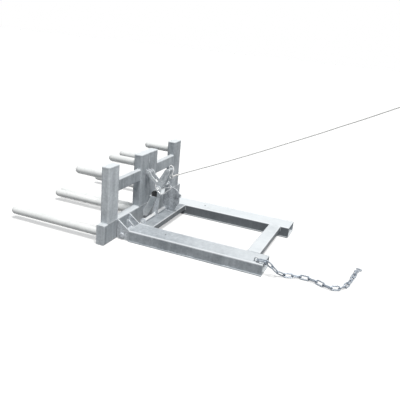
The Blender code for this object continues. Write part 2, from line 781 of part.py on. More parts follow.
def latch_lever():
    """Two V-shaped plates side by side, joined by the hub, a sleeve and the spacer at the top."""
    pivot = (PIVOT_Y, PIVOT_HEIGHT)
    near = LATCH_X + LATCH_SPREAD / 2
    far = LATCH_X - LATCH_SPREAD / 2
    latch = extruded("latch_lever", latch_outline(), LATCH_THICKNESS, "X", near)
    boolean(latch, extruded("latch_far_plate", latch_outline(), LATCH_THICKNESS, "X", far), "UNION")
    hub_near = STAND_NEAR_X - 0.001
    hub_far = far - LATCH_THICKNESS / 2 - 0.004
    sleeve_far = STAND_FAR_X + 0.001
    hub = extruded(
        "latch_hub", [circle(pivot, HUB_DIAMETER / 2)], hub_near - hub_far, "X", (hub_near + hub_far) / 2
    )
    boolean(latch, hub, "UNION")
    sleeve = extruded(
        "latch_sleeve", [circle(pivot, SLEEVE_DIAMETER / 2)],
        hub_far + 0.003 - sleeve_far, "X", (hub_far + 0.003 + sleeve_far) / 2,
    )
    boolean(latch, sleeve, "UNION")
    top = (HEAD_BACK + ARM_TOP_BACK, ARM_TOP_HEIGHT)
    spacer = bar(
        "latch_spacer", SPACER_DIAMETER / 2,
        (far - LATCH_THICKNESS / 2 - 0.003, *top), (near + LATCH_THICKNESS / 2 + 0.003, *top), 16,
    )
    boolean(latch, spacer, "UNION")
    drill = bar(
        "latch_bore", PIVOT_PIN / 2 + PIVOT_PLAY,
        (sleeve_far - 0.01, *pivot), (hub_near + 0.01, *pivot),
    )
    return keep(boolean(latch, drill), "galvanised")


def lever_handle():
    """A bent rod on the spacer between the plates, ending in the ring that the rope is tied to."""
    foot = (HEAD_BACK + ARM_TOP_BACK, ARM_TOP_HEIGHT + SPACER_DIAMETER / 2 + GAP)
    shape = [
        foot,
        (foot[0], foot[1] + 0.016),
        (foot[0] + 0.006, foot[1] + 0.028),
        (foot[0] + 0.018, foot[1] + 0.0325),
        (foot[0] + 0.030, foot[1] + 0.024),
        (foot[0] + 0.036, foot[1] + 0.005),
        (ROPE_EYE_Y + 0.009, ROPE_EYE_HEIGHT + 0.037),
        (ROPE_EYE_Y + 0.001, ROPE_EYE_HEIGHT + ROPE_EYE_RADIUS),
    ]
    points = smooth_path([(LATCH_X, y, z) for y, z in shape], 0.008)
    rod = wire("lever_handle", points, HANDLE_DIAMETER)
    ring = [
        (LATCH_X, y, z) for y, z in circle((ROPE_EYE_Y, ROPE_EYE_HEIGHT), ROPE_EYE_RADIUS, 18)
    ]
    boolean(rod, wire("lever_handle_ring", ring, ROPE_EYE_WIRE, closed=True), "UNION")
    return keep(rod, "bright_steel")


def rope_route():
    """The taut rope, from its knot at the lever's ring up towards the driver."""
    height = [
        (0.0525, 0.0244), (0.0955, 0.0450), (0.2385, 0.1110), (0.3915, 0.1810), (0.5345, 0.2490),
        (0.6775, 0.3180), (0.8145, 0.3860), (0.9415, 0.4490), (1.0655, 0.5110), (1.1885, 0.5750),
        (1.3105, 0.6370), (1.4185, 0.6940), (1.5275, 0.7520),
    ]
    return [(LATCH_X, ROPE_EYE_Y + run, ROPE_EYE_HEIGHT + rise) for run, rise in height]


def pull_rope():
    points = smooth_path(rope_route(), 3 * ROPE_DIAMETER)
    return keep(wire("pull_rope", points, ROPE_DIAMETER), "rope_fibre")


def rope_loop(name, end, towards, radius, upright):
    """A loop with its knot, just off one end of the rope."""
    end = Vector(end)
    along = (Vector(towards) - end).normalized()
    side = Vector((1, 0, 0)) if upright is False else Vector((1, 0, 0)).cross(along)
    knot_start = end + along * GAP
    knot_end = knot_start + along * 3 * ROPE_DIAMETER
    centre = knot_end + along * (radius - ROPE_DIAMETER / 4)
    points = [
        centre + along * radius * cos(2 * pi * step / 18) + side * radius * sin(2 * pi * step / 18)
        for step in range(18)
    ]
    loop = wire(name, points, ROPE_DIAMETER, closed=True)
    knot = bar(name + "_knot", ROPE_DIAMETER * 0.95, knot_start, knot_end, 12)
    boolean(loop, knot, "UNION")
    return keep(loop, "rope_fibre")


def chain_route():
    """From the eye over the pocket's back edge to the floor, then along it in a loose bend."""
    rest = CHAIN_WIRE / 2 + (CHAIN_WIDTH - CHAIN_WIRE) / 2 * sin(radians(45)) + 0.0008
    upright = CHAIN_WIDTH / 2 + 0.0008
    level = POCKET_HEIGHT + upright
    back = POCKET_REAR
    return [
        (0.4430, back - 0.042, level),
        (0.4436, back - 0.009, level + 0.003),
        (0.4470, back + 0.022, level),
        (0.4460, back + 0.047, level - 0.018),
        (0.4350, back + 0.072, rest + 0.044),
        (0.4180, back + 0.100, rest + 0.016),
        (0.3950, back + 0.140, rest),
        (0.3700, back + 0.200, rest),
        (0.3560, back + 0.260, rest),
        (0.3640, back + 0.335, rest),
        (0.3980, back + 0.410, rest),
        (0.4020, back + 0.470, rest),
        (0.3500, back + 0.520, rest),
        (0.2620, back + 0.548, rest),
        (0.1600, back + 0.562, upright),
        (0.0600, back + 0.572, upright),
    ]


def chain_link(name, centre, along, turn):
    """One oval link of round wire."""
    across_radius = (CHAIN_WIDTH - CHAIN_WIRE) / 2
    half_straight = (CHAIN_PITCH + CHAIN_WIRE) / 2 - across_radius
    half = CHAIN_STEPS // 2
    points = []
    for end, start in ((1, -90), (-1, 90)):
        for step in range(half):
            angle = radians(start + 180 * step / (half - 1))
            points.append((end * half_straight + across_radius * cos(angle), across_radius * sin(angle), 0))
    link = wire(name, points, CHAIN_WIRE, resolution=1, closed=True)
    up = Vector((0, 0, 1))
    side = up.cross(along).normalized()
    frame = Matrix((along, side, along.cross(side))).transposed().to_4x4()
    link.matrix_world = Matrix.Translation(centre) @ frame @ Matrix.Rotation(turn, 4, "X")
    return link


def chain_places():
    """The centre and direction of each link, one pitch apart along the route."""
    points = equal_steps(chain_route(), CHAIN_PITCH + CHAIN_SINK)
    places = []
    for first, second in zip(points, points[1:]):
        places.append(((first + second) / 2, (second - first).normalized()))
    return places


def safety_chain():
    links = []
    places = chain_places()
    last = len(places) - 1
    end_lean = 0 if last % 2 else 90
    for index, (centre, along) in enumerate(places):
        lean = 45 - 45 * max(0, 1 - index / CHAIN_EASE)
        lean += (end_lean - 45) * max(0, 1 - (last - index) / CHAIN_EASE)
        links.append(chain_link(f"chain_link_{index:02d}", centre, along, radians(lean + 90 * (index % 2))))
    chain = links[0]
    chain.name = "safety_chain"
    group = bpy.data.collections.new("chain_links")
    CUTTERS.children.link(group)
    for link in links[1:]:
        as_cutter(link)
        CUTTERS.objects.unlink(link)
        group.objects.link(link)
    modifier = chain.modifiers.new("union", "BOOLEAN")
    modifier.operation = "UNION"
    modifier.solver = "EXACT"
    modifier.operand_type = "COLLECTION"
    modifier.collection = group
    return keep(chain, "zinc_chain")


def chain_eye():
    """A bent rod standing on the near pocket; its back leg goes through the chain's first link."""
    centre, along = chain_places()[0]
    flat = Vector((along.x, along.y, 0)).normalized()
    leg = centre - along * ((CHAIN_PITCH - EYE_WIRE) / 2 - 0.001)
    half = EYE_SPREAD / 2
    middle = leg - flat * half
    foot = POCKET_HEIGHT + GAP
    points = [(leg.x, leg.y, foot)]
    for step in range(9):
        angle = pi * step / 8
        place = middle + flat * half * cos(angle)
        points.append((place.x, place.y, foot + EYE_RISE - EYE_WIRE / 2 - half + half * sin(angle)))
    far_leg = middle - flat * half
    points.append((far_leg.x, far_leg.y, foot))
    return keep(wire("chain_eye", points, EYE_WIRE), "galvanised")


def chain_hook():
    """A flat hook leaning down to the floor from the chain's last link."""
    centre, along = chain_places()[-1]
    eye = centre + along * (CHAIN_PITCH / 2 + CHAIN_WIRE * 0.9)
    jaw = (0.056, -0.002)
    body = [
        *arc((0, 0), HOOK_EYE + 0.007, 60, 300, 10),
        (0.024, -0.010),
        *arc(jaw, HOOK_REACH - jaw[0], 200, 400, 10),
        *arc(jaw, 0.014, 400, 212, 9),
        (0.030, 0.008),
    ]
    hook = extruded("chain_hook", [body, circle((0, 0), HOOK_EYE, 16)], HOOK_THICKNESS, "Z", 0)
    yaw = Matrix.Rotation(atan2(along.y, along.x), 4, "Z")
    drop = (eye.z - HOOK_THICKNESS / 2 - 0.001) / HOOK_REACH
    hook.matrix_world = Matrix.Translation(eye) @ yaw @ Matrix.Rotation(drop, 4, "Y")
    return keep(hook, "zinc_chain")


def build_base():
    for side, word in ((1, "near"), (-1, "far")):
        fork_pocket(f"pocket_{word}", side)
        end_plate(f"end_plate_{word}", side)
        hinge_cheek(f"cheek_{word}_outer", side * POCKET_OUTSIDE, -side)
        hinge_cheek(f"cheek_{word}_inner", side * POCKET_INSIDE, side)
        hinge_pin(f"hinge_pin_{word}", side)
    cross_member("front_cross_member", PLATE_Y + FRONT_CROSS_WIDTH, FRONT_CROSS_WIDTH)
    cross_member("rear_cross_member", POCKET_REAR - REAR_CROSS_FROM_END, REAR_CROSS_WIDTH)
    far_stand()
    near_stand()
    cross_bar()
    bar_lug()
    pivot_pin()
    chain_eye()
    safety_chain()
    chain_hook()


def build_head():
    bottom_rail()
    centre_width = 2 * UPRIGHT_WIDTH + GAP
    upright_cap("centre_cap", 0, centre_width)
    for side, word in ((1, "near"), (-1, "far")):
        rail_cap(f"rail_cap_{word}", side)
        upright(f"upright_{word}", side * UPRIGHT_X)
        upright(f"centre_post_{word}", side * CENTRE_X)
        upright_cap(f"upright_cap_{word}", side * UPRIGHT_X, UPRIGHT_WIDTH)
        upper_rail(f"upper_rail_{word}", side)
        hinge_lug(f"hinge_lug_{word}", side)
        lower_x = BOTTOM_RAIL_LENGTH / 2 - LOWER_TINE_INSET
        tine(f"lower_tine_{word}_outer", side * lower_x, LOWER_TINE_HEIGHT, LOWER_TINE_LENGTH)
        inner_x = lower_x - LOWER_TINE_PITCH
        tine(f"lower_tine_{word}_inner", side * inner_x, LOWER_TINE_HEIGHT, LOWER_TINE_LENGTH)
        tine(f"upper_tine_{word}_outer", side * UPRIGHT_X, UPPER_TINE_HEIGHT, UPPER_TINE_LENGTH)
        inner_x = UPRIGHT_X - UPPER_TINE_PITCH
        tine(f"upper_tine_{word}_inner", side * inner_x, UPPER_TINE_HEIGHT, UPPER_TINE_LENGTH)
    catch_ear("catch_ear_near", 1)
    catch_ear("catch_ear_far", -1)
    catch_pin()
    diagonal_brace()
    stop_buffer()


def build_latch():
    latch_lever()
    lever_handle()


def build_rope():
    pull_rope()
    route = rope_route()
    ring = (LATCH_X, ROPE_EYE_Y, ROPE_EYE_HEIGHT)
    rope_loop("rope_loop_near", route[0], ring, ROPE_LOOP_RADIUS, False)
    ahead = Vector(route[-1]) + (Vector(route[-1]) - Vector(route[-2]))
    rope_loop("rope_loop_far", route[-1], ahead, ROPE_END_LOOP_RADIUS, True)


def hang_on(name, place, build):
    """Builds a moving group and hangs its pieces on an empty that stands on their joint's axis."""
    before = set(PARTS.objects)
    build()
    axis = bpy.data.objects.new(name, None)
    axis.empty_display_size = 0.05
    axis.location = place
    AXES.objects.link(axis)
    bpy.context.view_layer.update()
    for piece in PARTS.objects:
        if piece not in before:
            piece.parent = axis
            piece.matrix_parent_inverse = axis.matrix_world.inverted()


clear_scene()
PARTS = new_collection("drum_lifter")
CUTTERS = new_collection("cutters", hidden=True)
AXES = new_collection("joint_axes")
build_base()
hang_on("head_axis", (0, HINGE_Y, HINGE_HEIGHT), build_head)
hang_on("latch_axis", (0, PIVOT_Y, PIVOT_HEIGHT), build_latch)
hang_on("rope_line", (LATCH_X, ROPE_EYE_Y, ROPE_EYE_HEIGHT), build_rope)
for piece in PARTS.objects:
    if piece.type == "MESH":
        piece.data.shade_smooth()
        piece.data.set_sharp_from_angle(angle=radians(35))
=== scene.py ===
# Fork-mounted drum lifter: galvanised frames, rope-pulled latch and safety chain
import json
from math import cos, pi, radians, sin

import bmesh
import bpy
from mathutils import Matrix, Vector

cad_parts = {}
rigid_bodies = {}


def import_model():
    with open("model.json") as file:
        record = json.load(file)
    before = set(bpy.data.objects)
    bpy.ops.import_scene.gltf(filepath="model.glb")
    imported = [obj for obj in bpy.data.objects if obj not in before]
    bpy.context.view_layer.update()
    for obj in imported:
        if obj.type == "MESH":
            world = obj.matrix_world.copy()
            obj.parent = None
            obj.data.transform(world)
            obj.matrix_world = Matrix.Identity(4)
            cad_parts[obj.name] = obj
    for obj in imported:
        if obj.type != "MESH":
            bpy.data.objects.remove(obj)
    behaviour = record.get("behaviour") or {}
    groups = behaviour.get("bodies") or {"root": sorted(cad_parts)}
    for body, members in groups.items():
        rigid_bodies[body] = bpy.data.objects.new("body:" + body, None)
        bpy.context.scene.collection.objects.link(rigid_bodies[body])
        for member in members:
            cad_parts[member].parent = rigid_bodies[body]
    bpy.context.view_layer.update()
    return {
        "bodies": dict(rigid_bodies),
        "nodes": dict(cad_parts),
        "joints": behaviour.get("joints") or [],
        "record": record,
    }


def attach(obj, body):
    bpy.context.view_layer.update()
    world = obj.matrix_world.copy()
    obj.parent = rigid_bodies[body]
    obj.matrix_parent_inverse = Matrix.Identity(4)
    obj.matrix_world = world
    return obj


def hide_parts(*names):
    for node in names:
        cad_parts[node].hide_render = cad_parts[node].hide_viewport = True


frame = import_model()
nodes = frame["nodes"]
print("frame loaded:", len(nodes), "solids")


# Camera, placed as the photograph was taken
viewpoint = {
    "place": (3.455, 1.6435, 1.528),
    "azimuth": 110.84,
    "elevation": 18.885,
    "roll": 5.364,
    "lens": 45.492,
    "sensor": 36,
}


def makeCamera(values):
    azimuth = radians(values["azimuth"])
    elevation = radians(values["elevation"])
    roll = radians(values["roll"])
    back = Vector((sin(azimuth) * cos(elevation), -cos(azimuth) * cos(elevation), sin(elevation)))
    right = Vector((0, 0, 1)).cross(back).normalized()
    up = back.cross(right)
    tiltedRight = right * cos(roll) + up * sin(roll)
    tiltedUp = up * cos(roll) - right * sin(roll)
    data = bpy.data.cameras.new("photoCamera")
    data.lens = values["lens"]
    data.sensor_width = values["sensor"]
    data.sensor_fit = "HORIZONTAL"
    camera = bpy.data.objects.new("photoCamera", data)
    turn = Matrix((tiltedRight, tiltedUp, back)).transposed().to_4x4()
    camera.matrix_world = Matrix.Translation(values["place"]) @ turn
    bpy.context.scene.collection.objects.link(camera)
    bpy.context.scene.camera = camera


makeCamera(viewpoint)
bpy.context.scene.view_settings.view_transform = "Standard"
print("camera set")


# Node helpers
def setInputs(tree, node, inputs):
    # Each input gets its value, or a link where the value is another node's output
    for key, value in inputs.items():
        if isinstance(value, bpy.types.NodeSocket):
            tree.links.new(value, node.inputs[key])
        elif value is not None:
            node.inputs[key].default_value = value


def addNode(tree, kind, inputs=None, **settings):
    node = tree.nodes.new(kind)
    for key, value in settings.items():
        setattr(node, key, value)
    setInputs(tree, node, inputs or {})
    return node


def newTree(name, kind, inputs, outputs):
    # Inputs are given by their socket's kind, or by their default where they are numbers
    tree = bpy.data.node_groups.new(name, kind)
    for label, value in inputs.items():
        socketKind = "NodeSocketFloat" if isinstance(value, float) else value
        socket = tree.interface.new_socket(label, in_out="INPUT", socket_type=socketKind)
        if isinstance(value, float):
            socket.default_value = value
    for label, socketKind in outputs.items():
        tree.interface.new_socket(label, in_out="OUTPUT", socket_type=socketKind)
    return tree, tree.nodes.new("NodeGroupInput").outputs, tree.nodes.new("NodeGroupOutput")


def shaderGroup(name, inputs, outputs):
    return newTree(name, "ShaderNodeTree", inputs, {label: "NodeSocketFloat" for label in outputs})


def mathNode(tree, operation, first, second=0.0, third=None, clamp=False):
    values = {0: first, 1: second, 2: third}
    return addNode(tree, "ShaderNodeMath", values, operation=operation, use_clamp=clamp).outputs[0]


def noiseNode(tree, vector, scale, detail, roughness, stretch=None):
    if stretch:
        vector = addNode(tree, "ShaderNodeMapping", {"Vector": vector, "Scale": stretch}).outputs[0]
    values = {"Vector": vector, "Scale": scale, "Detail": detail, "Roughness": roughness}
    return addNode(tree, "ShaderNodeTexNoise", values).outputs["Fac"]


def rampNode(tree, value, low, high):
    # A soft step from 0 at low to 1 at high
    values = {"Value": value, "From Min": low, "From Max": high}
    return addNode(tree, "ShaderNodeMapRange", values, interpolation_type="SMOOTHSTEP").outputs["Result"]


def mixColour(tree, factor, first, second):
    first, second = ((*value, 1) if isinstance(value, tuple) else value for value in (first, second))
    return addNode(tree, "ShaderNodeMix", {0: factor, 6: first, 7: second}, data_type="RGBA").outputs[2]


def newMaterial(name):
    material = bpy.data.materials.new(name)
    material.use_nodes = True
    return material, material.node_tree, material.node_tree.nodes["Principled BSDF"]


def bumpNode(tree, height, strength, distance):
    values = {"Strength": strength, "Distance": distance, "Height": height}
    return addNode(tree, "ShaderNodeBump", values).outputs[0]


# Shader groups
def makeZincBloom():
    # The crystals, cloudy patches and drip streaks of hot-dip zinc
    group, given, end = shaderGroup("zincBloom", {
        "Vector": "NodeSocketVector",
        "Crystal Scale": 60.0,
        "Crystals": 0.25,
        "Clouds": 0.5,
        "Streaks": 0.3,
    }, ("Tone", "Roughness", "Height"))
    vector = given["Vector"]
    crystals = addNode(group, "ShaderNodeTexVoronoi", {
        "Vector": vector, "Scale": given["Crystal Scale"], "Randomness": 1.0,
    })
    split = addNode(group, "ShaderNodeSeparateColor", {"Color": crystals.outputs["Color"]})
    facet = mathNode(group, "SUBTRACT", split.outputs[0], 0.5)
    cloud = rampNode(group, noiseNode(group, vector, 6.0, 4.0, 0.6), 0.25, 0.75)
    cloud = mathNode(group, "SUBTRACT", cloud, 0.5)
    drip = rampNode(group, noiseNode(group, vector, 1.0, 3.0, 0.55, (38, 38, 3.5)), 0.35, 0.75)
    drip = mathNode(group, "SUBTRACT", drip, 0.5)
    tone = mathNode(group, "MULTIPLY_ADD", facet, given["Crystals"], 0.5)
    tone = mathNode(group, "ADD", tone, mathNode(group, "MULTIPLY", cloud, given["Clouds"]))
    tone = mathNode(group, "ADD", tone, mathNode(group, "MULTIPLY", drip, given["Streaks"]), clamp=True)
    grain = noiseNode(group, vector, 420.0, 2.0, 0.5)
    lumps = noiseNode(group, vector, 45.0, 3.0, 0.5)
    setInputs(group, end, {
        "Tone": tone,
        "Roughness": mathNode(group, "MULTIPLY_ADD", tone, -0.22, 0.60),
        "Height": mathNode(group, "MULTIPLY_ADD", lumps, 3.0, grain),
    })
    return group


def makeRubMarks():
    # Scuffs and dark rub marks where steel slides on steel or lies on the ground
    group, given, end = shaderGroup("rubMarks", {
        "Vector": "NodeSocketVector", "Scale": 9.0, "Amount": 0.4,
    }, ("Mask",))
    vector = given["Vector"]
    patches = rampNode(group, noiseNode(group, vector, given["Scale"], 5.0, 0.65), 0.52, 0.72)
    scratches = rampNode(group, noiseNode(group, vector, 1.0, 2.0, 0.5, (22, 22, 260)), 0.55, 0.68)
    mask = mathNode(group, "MAXIMUM", patches, mathNode(group, "MULTIPLY", scratches, 0.4))
    setInputs(group, end, {"Mask": mathNode(group, "MULTIPLY", mask, given["Amount"], clamp=True)})
    return group


def makeLightShadePaint():
    # Painted light and shade: a paler painted sheen on faces that look up, a painted highlight on rounded
    # corners, and painted shade on the frame's inside faces
    group, given, end = shaderGroup("lightShadePaint", {
        "Vector": "NodeSocketVector",
        "Facing": "NodeSocketVector",
        "Pale Slope": 0.0,
        "Pale Start": 0.0,
    }, ("Pale", "Corner", "Grime"))
    place = addNode(group, "ShaderNodeSeparateXYZ", {0: given["Vector"]}).outputs
    up = addNode(group, "ShaderNodeSeparateXYZ", {0: given["Facing"]}).outputs["Z"]
    along = mathNode(group, "MULTIPLY_ADD", place["Y"], given["Pale Slope"], given["Pale Start"], clamp=True)
    patches = rampNode(group, noiseNode(group, given["Vector"], 5.0, 4.0, 0.6), 0.25, 0.60)
    patches = mathNode(group, "MULTIPLY_ADD", patches, 0.35, 0.65)
    # Painted sheen on faces that look up, scaled along Y by the slope and start
    pale = mathNode(group, "MULTIPLY", rampNode(group, up, 0.85, 0.98), along)
    # Painted highlight on the facets of rounded corners
    turned = mathNode(group, "SUBTRACT", rampNode(group, up, 0.15, 0.35), rampNode(group, up, 0.93, 0.99))
    # Painted shade on faces inside the frame that don't look up
    across = mathNode(group, "ABSOLUTE", place["X"])
    inside = mathNode(group, "SUBTRACT", 1.0, rampNode(group, across, 0.2975, 0.2995))
    upright = mathNode(group, "SUBTRACT", 1.0, rampNode(group, up, 0.30, 0.80))
    setInputs(group, end, {
        "Pale": mathNode(group, "MULTIPLY", pale, patches),
        "Corner": turned,
        "Grime": mathNode(group, "MULTIPLY", inside, upright),
    })
    return group


zincBloom = makeZincBloom()
rubMarks = makeRubMarks()
lightShadePaint = makeLightShadePaint()


def zincMaterial(name, values):
    material, tree, shader = newMaterial(name)
    coordinates = tree.nodes.new("ShaderNodeTexCoord")
    place = coordinates.outputs["Object"]
    bloom = addNode(tree, "ShaderNodeGroup", {
        "Vector": place,
        "Crystal Scale": values["crystalScale"],
        "Crystals": values["crystals"],
        "Clouds": values["clouds"],
        "Streaks": values["streaks"],
    }, node_tree=zincBloom)
    rubs = addNode(tree, "ShaderNodeGroup", {
        "Vector": place, "Scale": values["rubScale"], "Amount": values["rubs"],
    }, node_tree=rubMarks)
    colour = mixColour(tree, bloom.outputs["Tone"], values["dark"], values["light"])
    colour = mixColour(tree, rubs.outputs["Mask"], colour, values["rubColour"])
    # Painted light and shade: a paler sheen on the tops, a highlight on rounded corners and shade on the
    # inside faces
    if "paintedLight" in values:
        paintedLight = addNode(tree, "ShaderNodeGroup", {
            "Vector": place, "Facing": coordinates.outputs["Normal"],
            "Pale Slope": values["paintedLight"]["slope"], "Pale Start": values["paintedLight"]["start"],
        }, node_tree=lightShadePaint)
        for mark, tint in paintedLightTints.items():
            share = mathNode(tree, "MULTIPLY", paintedLight.outputs[mark.title()], values["paintedLight"][mark])
            colour = mixColour(tree, share, colour, tint)
    setInputs(tree, shader, {
        "Base Color": colour,
        "Roughness": mathNode(tree, "ADD", bloom.outputs["Roughness"], values["roughShift"], clamp=True),
        "Metallic": values["metallic"],
        "Specular IOR Level": values["specular"],
        "Normal": bumpNode(tree, bloom.outputs["Height"], values["bump"], 0.0006),
    })
    return material


# Tints of the painted light and shade: a paler sheen, a corner highlight and shade
paintedLightTints = {"pale": (0.693, 0.727, 0.753), "corner": (0.827, 0.853, 0.880), "grime": (0.113, 0.124, 0.137)}

# Painted sheen on every top and painted highlight on the corners, with no painted shade
evenPaintedLight = {"slope": 0.0, "start": 1.0, "pale": 0.95, "corner": 0.50, "grime": 0.0}
frameTube = {
    "crystalScale": 75.0, "crystals": 0.30, "clouds": 0.60, "streaks": 0.30, "rubScale": 7.0, "rubs": 0.35,
    "rubColour": (0.267, 0.287, 0.307), "metallic": 0.06, "specular": 0.28, "roughShift": 0.0, "bump": 0.35,
}
headTube = {**frameTube, "streaks": 0.45, "rubScale": 6.0, "rubs": 0.30, "specular": 0.22, "roughShift": 0.02}
plateSteel = {
    "crystalScale": 95.0, "crystals": 0.35, "clouds": 0.55, "streaks": 0.25, "rubScale": 20.0, "rubs": 0.45,
    "metallic": 0.08, "specular": 0.35, "roughShift": -0.04, "bump": 0.45,
}
brightSteel = {
    "crystalScale": 140.0, "crystals": 0.30, "clouds": 0.50, "streaks": 0.10, "rubScale": 35.0, "rubs": 0.55,
    "metallic": 0.10, "specular": 0.50, "roughShift": -0.15, "bump": 0.20,
}

finishes = {
    "framePaleZinc": {
        **frameTube, "dark": (0.277, 0.304, 0.333), "light": (0.533, 0.571, 0.607),
        # Painted sheen on the tops, growing towards the rear, a painted corner highlight and painted shade
        # inside
        "paintedLight": {"slope": 1.2, "start": -0.15, "pale": 0.65, "corner": 0.80, "grime": 0.75},
    },
    # A lighter copy of the frame's zinc: painted light on the far pocket and the rear cross-member
    "frameLitZinc": {
        **frameTube, "dark": (0.313, 0.344, 0.376), "light": (0.600, 0.643, 0.683), "rubs": 0.20,
        "paintedLight": {**evenPaintedLight, "corner": 0.80, "grime": 0.82},
    },
    # A darker copy of the frame's zinc: painted shade on the front cross-member
    "frameShadedZinc": {
        **frameTube, "dark": (0.220, 0.243, 0.267), "light": (0.440, 0.472, 0.501),
        "rubColour": (0.187, 0.200, 0.213),
        "paintedLight": {"slope": 0.0, "start": 0.0, "pale": 0.0, "corner": 0.60, "grime": 0.75},
    },
    "headPaleZinc": {
        **headTube, "dark": (0.467, 0.500, 0.533), "light": (0.787, 0.827, 0.860),
        "rubColour": (0.347, 0.367, 0.387), "paintedLight": evenPaintedLight,
    },
    # A darker copy of the head's zinc: painted shade on the centre post, the rails and the far upright
    "headShadedZinc": {
        **headTube, "dark": (0.287, 0.315, 0.341), "light": (0.527, 0.563, 0.595),
        "paintedLight": {**evenPaintedLight, "pale": 0.70},
    },
    "tineZinc": {
        "dark": (0.667, 0.680, 0.680), "light": (0.918, 0.930, 0.930), "crystalScale": 90.0,
        "crystals": 0.20, "clouds": 0.45, "streaks": 0.10, "rubScale": 12.0, "rubs": 0.35,
        "rubColour": (0.480, 0.493, 0.493), "metallic": 0.06, "specular": 0.40, "roughShift": -0.05,
        "bump": 0.25,
    },
    "bracketDullZinc": {
        **plateSteel, "dark": (0.313, 0.337, 0.367), "light": (0.813, 0.853, 0.893), "crystals": 0.45,
        "clouds": 0.80, "streaks": 0.30, "rubScale": 22.0, "rubs": 0.65, "rubColour": (0.147, 0.153, 0.167),
    },
    # A lighter copy of the plate zinc: painted light on the diagonal brace
    "braceLitZinc": {
        **plateSteel, "dark": (0.747, 0.787, 0.820), "light": (0.875, 0.908, 0.930), "clouds": 0.45,
        "rubs": 0.40, "rubColour": (0.293, 0.307, 0.320),
    },
    "leverGreyZinc": {
        **plateSteel, "dark": (0.493, 0.520, 0.547), "light": (0.800, 0.833, 0.860),
        "rubColour": (0.213, 0.220, 0.233),
    },
    # Painted highlight for the rounded edges of plates
    "edgeHighlightZinc": {
        **brightSteel, "dark": (0.747, 0.773, 0.800), "light": (0.907, 0.919, 0.930),
        "rubColour": (0.533, 0.547, 0.560),
    },
    "pinBrightZinc": {
        **brightSteel, "dark": (0.827, 0.840, 0.853), "light": (0.909, 0.919, 0.930),
        "crystalScale": 220.0, "crystals": 0.10, "clouds": 0.40, "rubScale": 40.0, "rubs": 0.45,
        "rubColour": (0.453, 0.440, 0.427), "metallic": 0.40, "roughShift": -0.26, "bump": 0.12,
    },
    "chainBrightZinc": {
        **brightSteel, "dark": (0.173, 0.213, 0.267), "light": (0.533, 0.587, 0.653),
        "crystalScale": 160.0, "crystals": 0.50, "clouds": 0.30, "rubScale": 60.0, "rubs": 0.75,
        "rubColour": (0.080, 0.093, 0.120), "metallic": 0.30, "roughShift": -0.20,
    },
    "weldZinc": {
        "dark": (0.347, 0.373, 0.400), "light": (0.800, 0.840, 0.867), "crystalScale": 300.0,
        "crystals": 0.30, "clouds": 0.60, "streaks": 0.20, "rubScale": 50.0, "rubs": 0.40,
        "rubColour": (0.187, 0.187, 0.200), "metallic": 0.15, "specular": 0.40, "roughShift": -0.10,
        "bump": 0.60,
    },
}
materials = {name: zincMaterial(name, values) for name, values in finishes.items()}


ropeLook = {
    "crown": (0.853, 0.847, 0.833),
    # painted shade in the grooves between the strands
    "grooveShade": (0.613, 0.607, 0.593),
    "dirt": (0.667, 0.653, 0.627),
    "dirtShare": 0.35,
    "yarnScale": 40.0,
    "roughness": 0.82,
}
rubberLook = {
    "black": (0.024, 0.024, 0.027),
    "dust": (0.100, 0.100, 0.099),
    "dustShare": 0.5,
    "roughness": 0.68,
}


def ropeMaterial(look):
    # Laid fibre rope: fine yarns across the strands, painted shade in the grooves between them, and a little
    # dirt in patches
    material, tree, shader = newMaterial("ropeLaidFibre")
    place = tree.nodes.new("ShaderNodeTexCoord")
    grooveShade = addNode(tree, "ShaderNodeAttribute", attribute_name="grooveShade")
    yarns = addNode(tree, "ShaderNodeTexWave", {
        "Vector": place.outputs["UV"], "Scale": look["yarnScale"], "Distortion": 1.5,
    }, wave_type="BANDS", bands_direction="DIAGONAL")
    dirt = rampNode(tree, noiseNode(tree, place.outputs["Object"], 25.0, 4.0, 0.6), 0.45, 0.75)
    # Painted shade: the grooves between the strands darker
    colour = mixColour(tree, grooveShade.outputs["Fac"], look["crown"], look["grooveShade"])
    colour = mixColour(tree, mathNode(tree, "MULTIPLY", dirt, look["dirtShare"]), colour, look["dirt"])
    setInputs(tree, shader, {
        "Base Color": colour, "Roughness": look["roughness"],
        "Normal": bumpNode(tree, yarns.outputs["Fac"], 0.5, 0.0004),
    })
    return material


def rubberMaterial(look):
    # Moulded rubber with dust and pale scuffs
    material, tree, shader = newMaterial("rubberBlack")
    place = tree.nodes.new("ShaderNodeTexCoord").outputs["Object"]
    dust = rampNode(tree, noiseNode(tree, place, 60.0, 4.0, 0.6), 0.45, 0.80)
    colour = mixColour(tree, mathNode(tree, "MULTIPLY", dust, look["dustShare"]), look["black"], look["dust"])
    setInputs(tree, shader, {
        "Base Color": colour, "Roughness": look["roughness"],
        "Normal": bumpNode(tree, noiseNode(tree, place, 300.0, 2.0, 0.5), 0.4, 0.0005),
    })
    return material


materials["ropeLaidFibre"] = ropeMaterial(ropeLook)
materials["rubberBlack"] = rubberMaterial(rubberLook)
print("materials made:", len(materials))


# Finishes on the solids that stay, by the start of their names: the first that fits is taken
solidFinishes = {
    "tineZinc": ("lower_tine", "upper_tine"),
    "pinBrightZinc": ("cross_bar", "latch_pivot_pin", "lever_handle"),
    "bracketDullZinc": ("hinge_pin", "hinge_lug", "latch_stand", "catch_pin", "bar_lug", "cheek"),
    "leverGreyZinc": ("latch_lever", "catch_ear"),
    "braceLitZinc": ("diagonal_brace",),
    "rubberBlack": ("stop_buffer",),
    "chainBrightZinc": ("safety_chain", "chain_hook"),
    "ropeLaidFibre": ("pull_rope", "rope_loop"),
    "frameLitZinc": ("pocket_far", "rear_cross"),
    "frameShadedZinc": ("front_cross",),
    "framePaleZinc": ("pocket", "end_plate", "chain_eye"),
    "headShadedZinc": ("centre_post", "bottom_rail", "upper_rail", "upright_far"),
    "headPaleZinc": ("",),
}


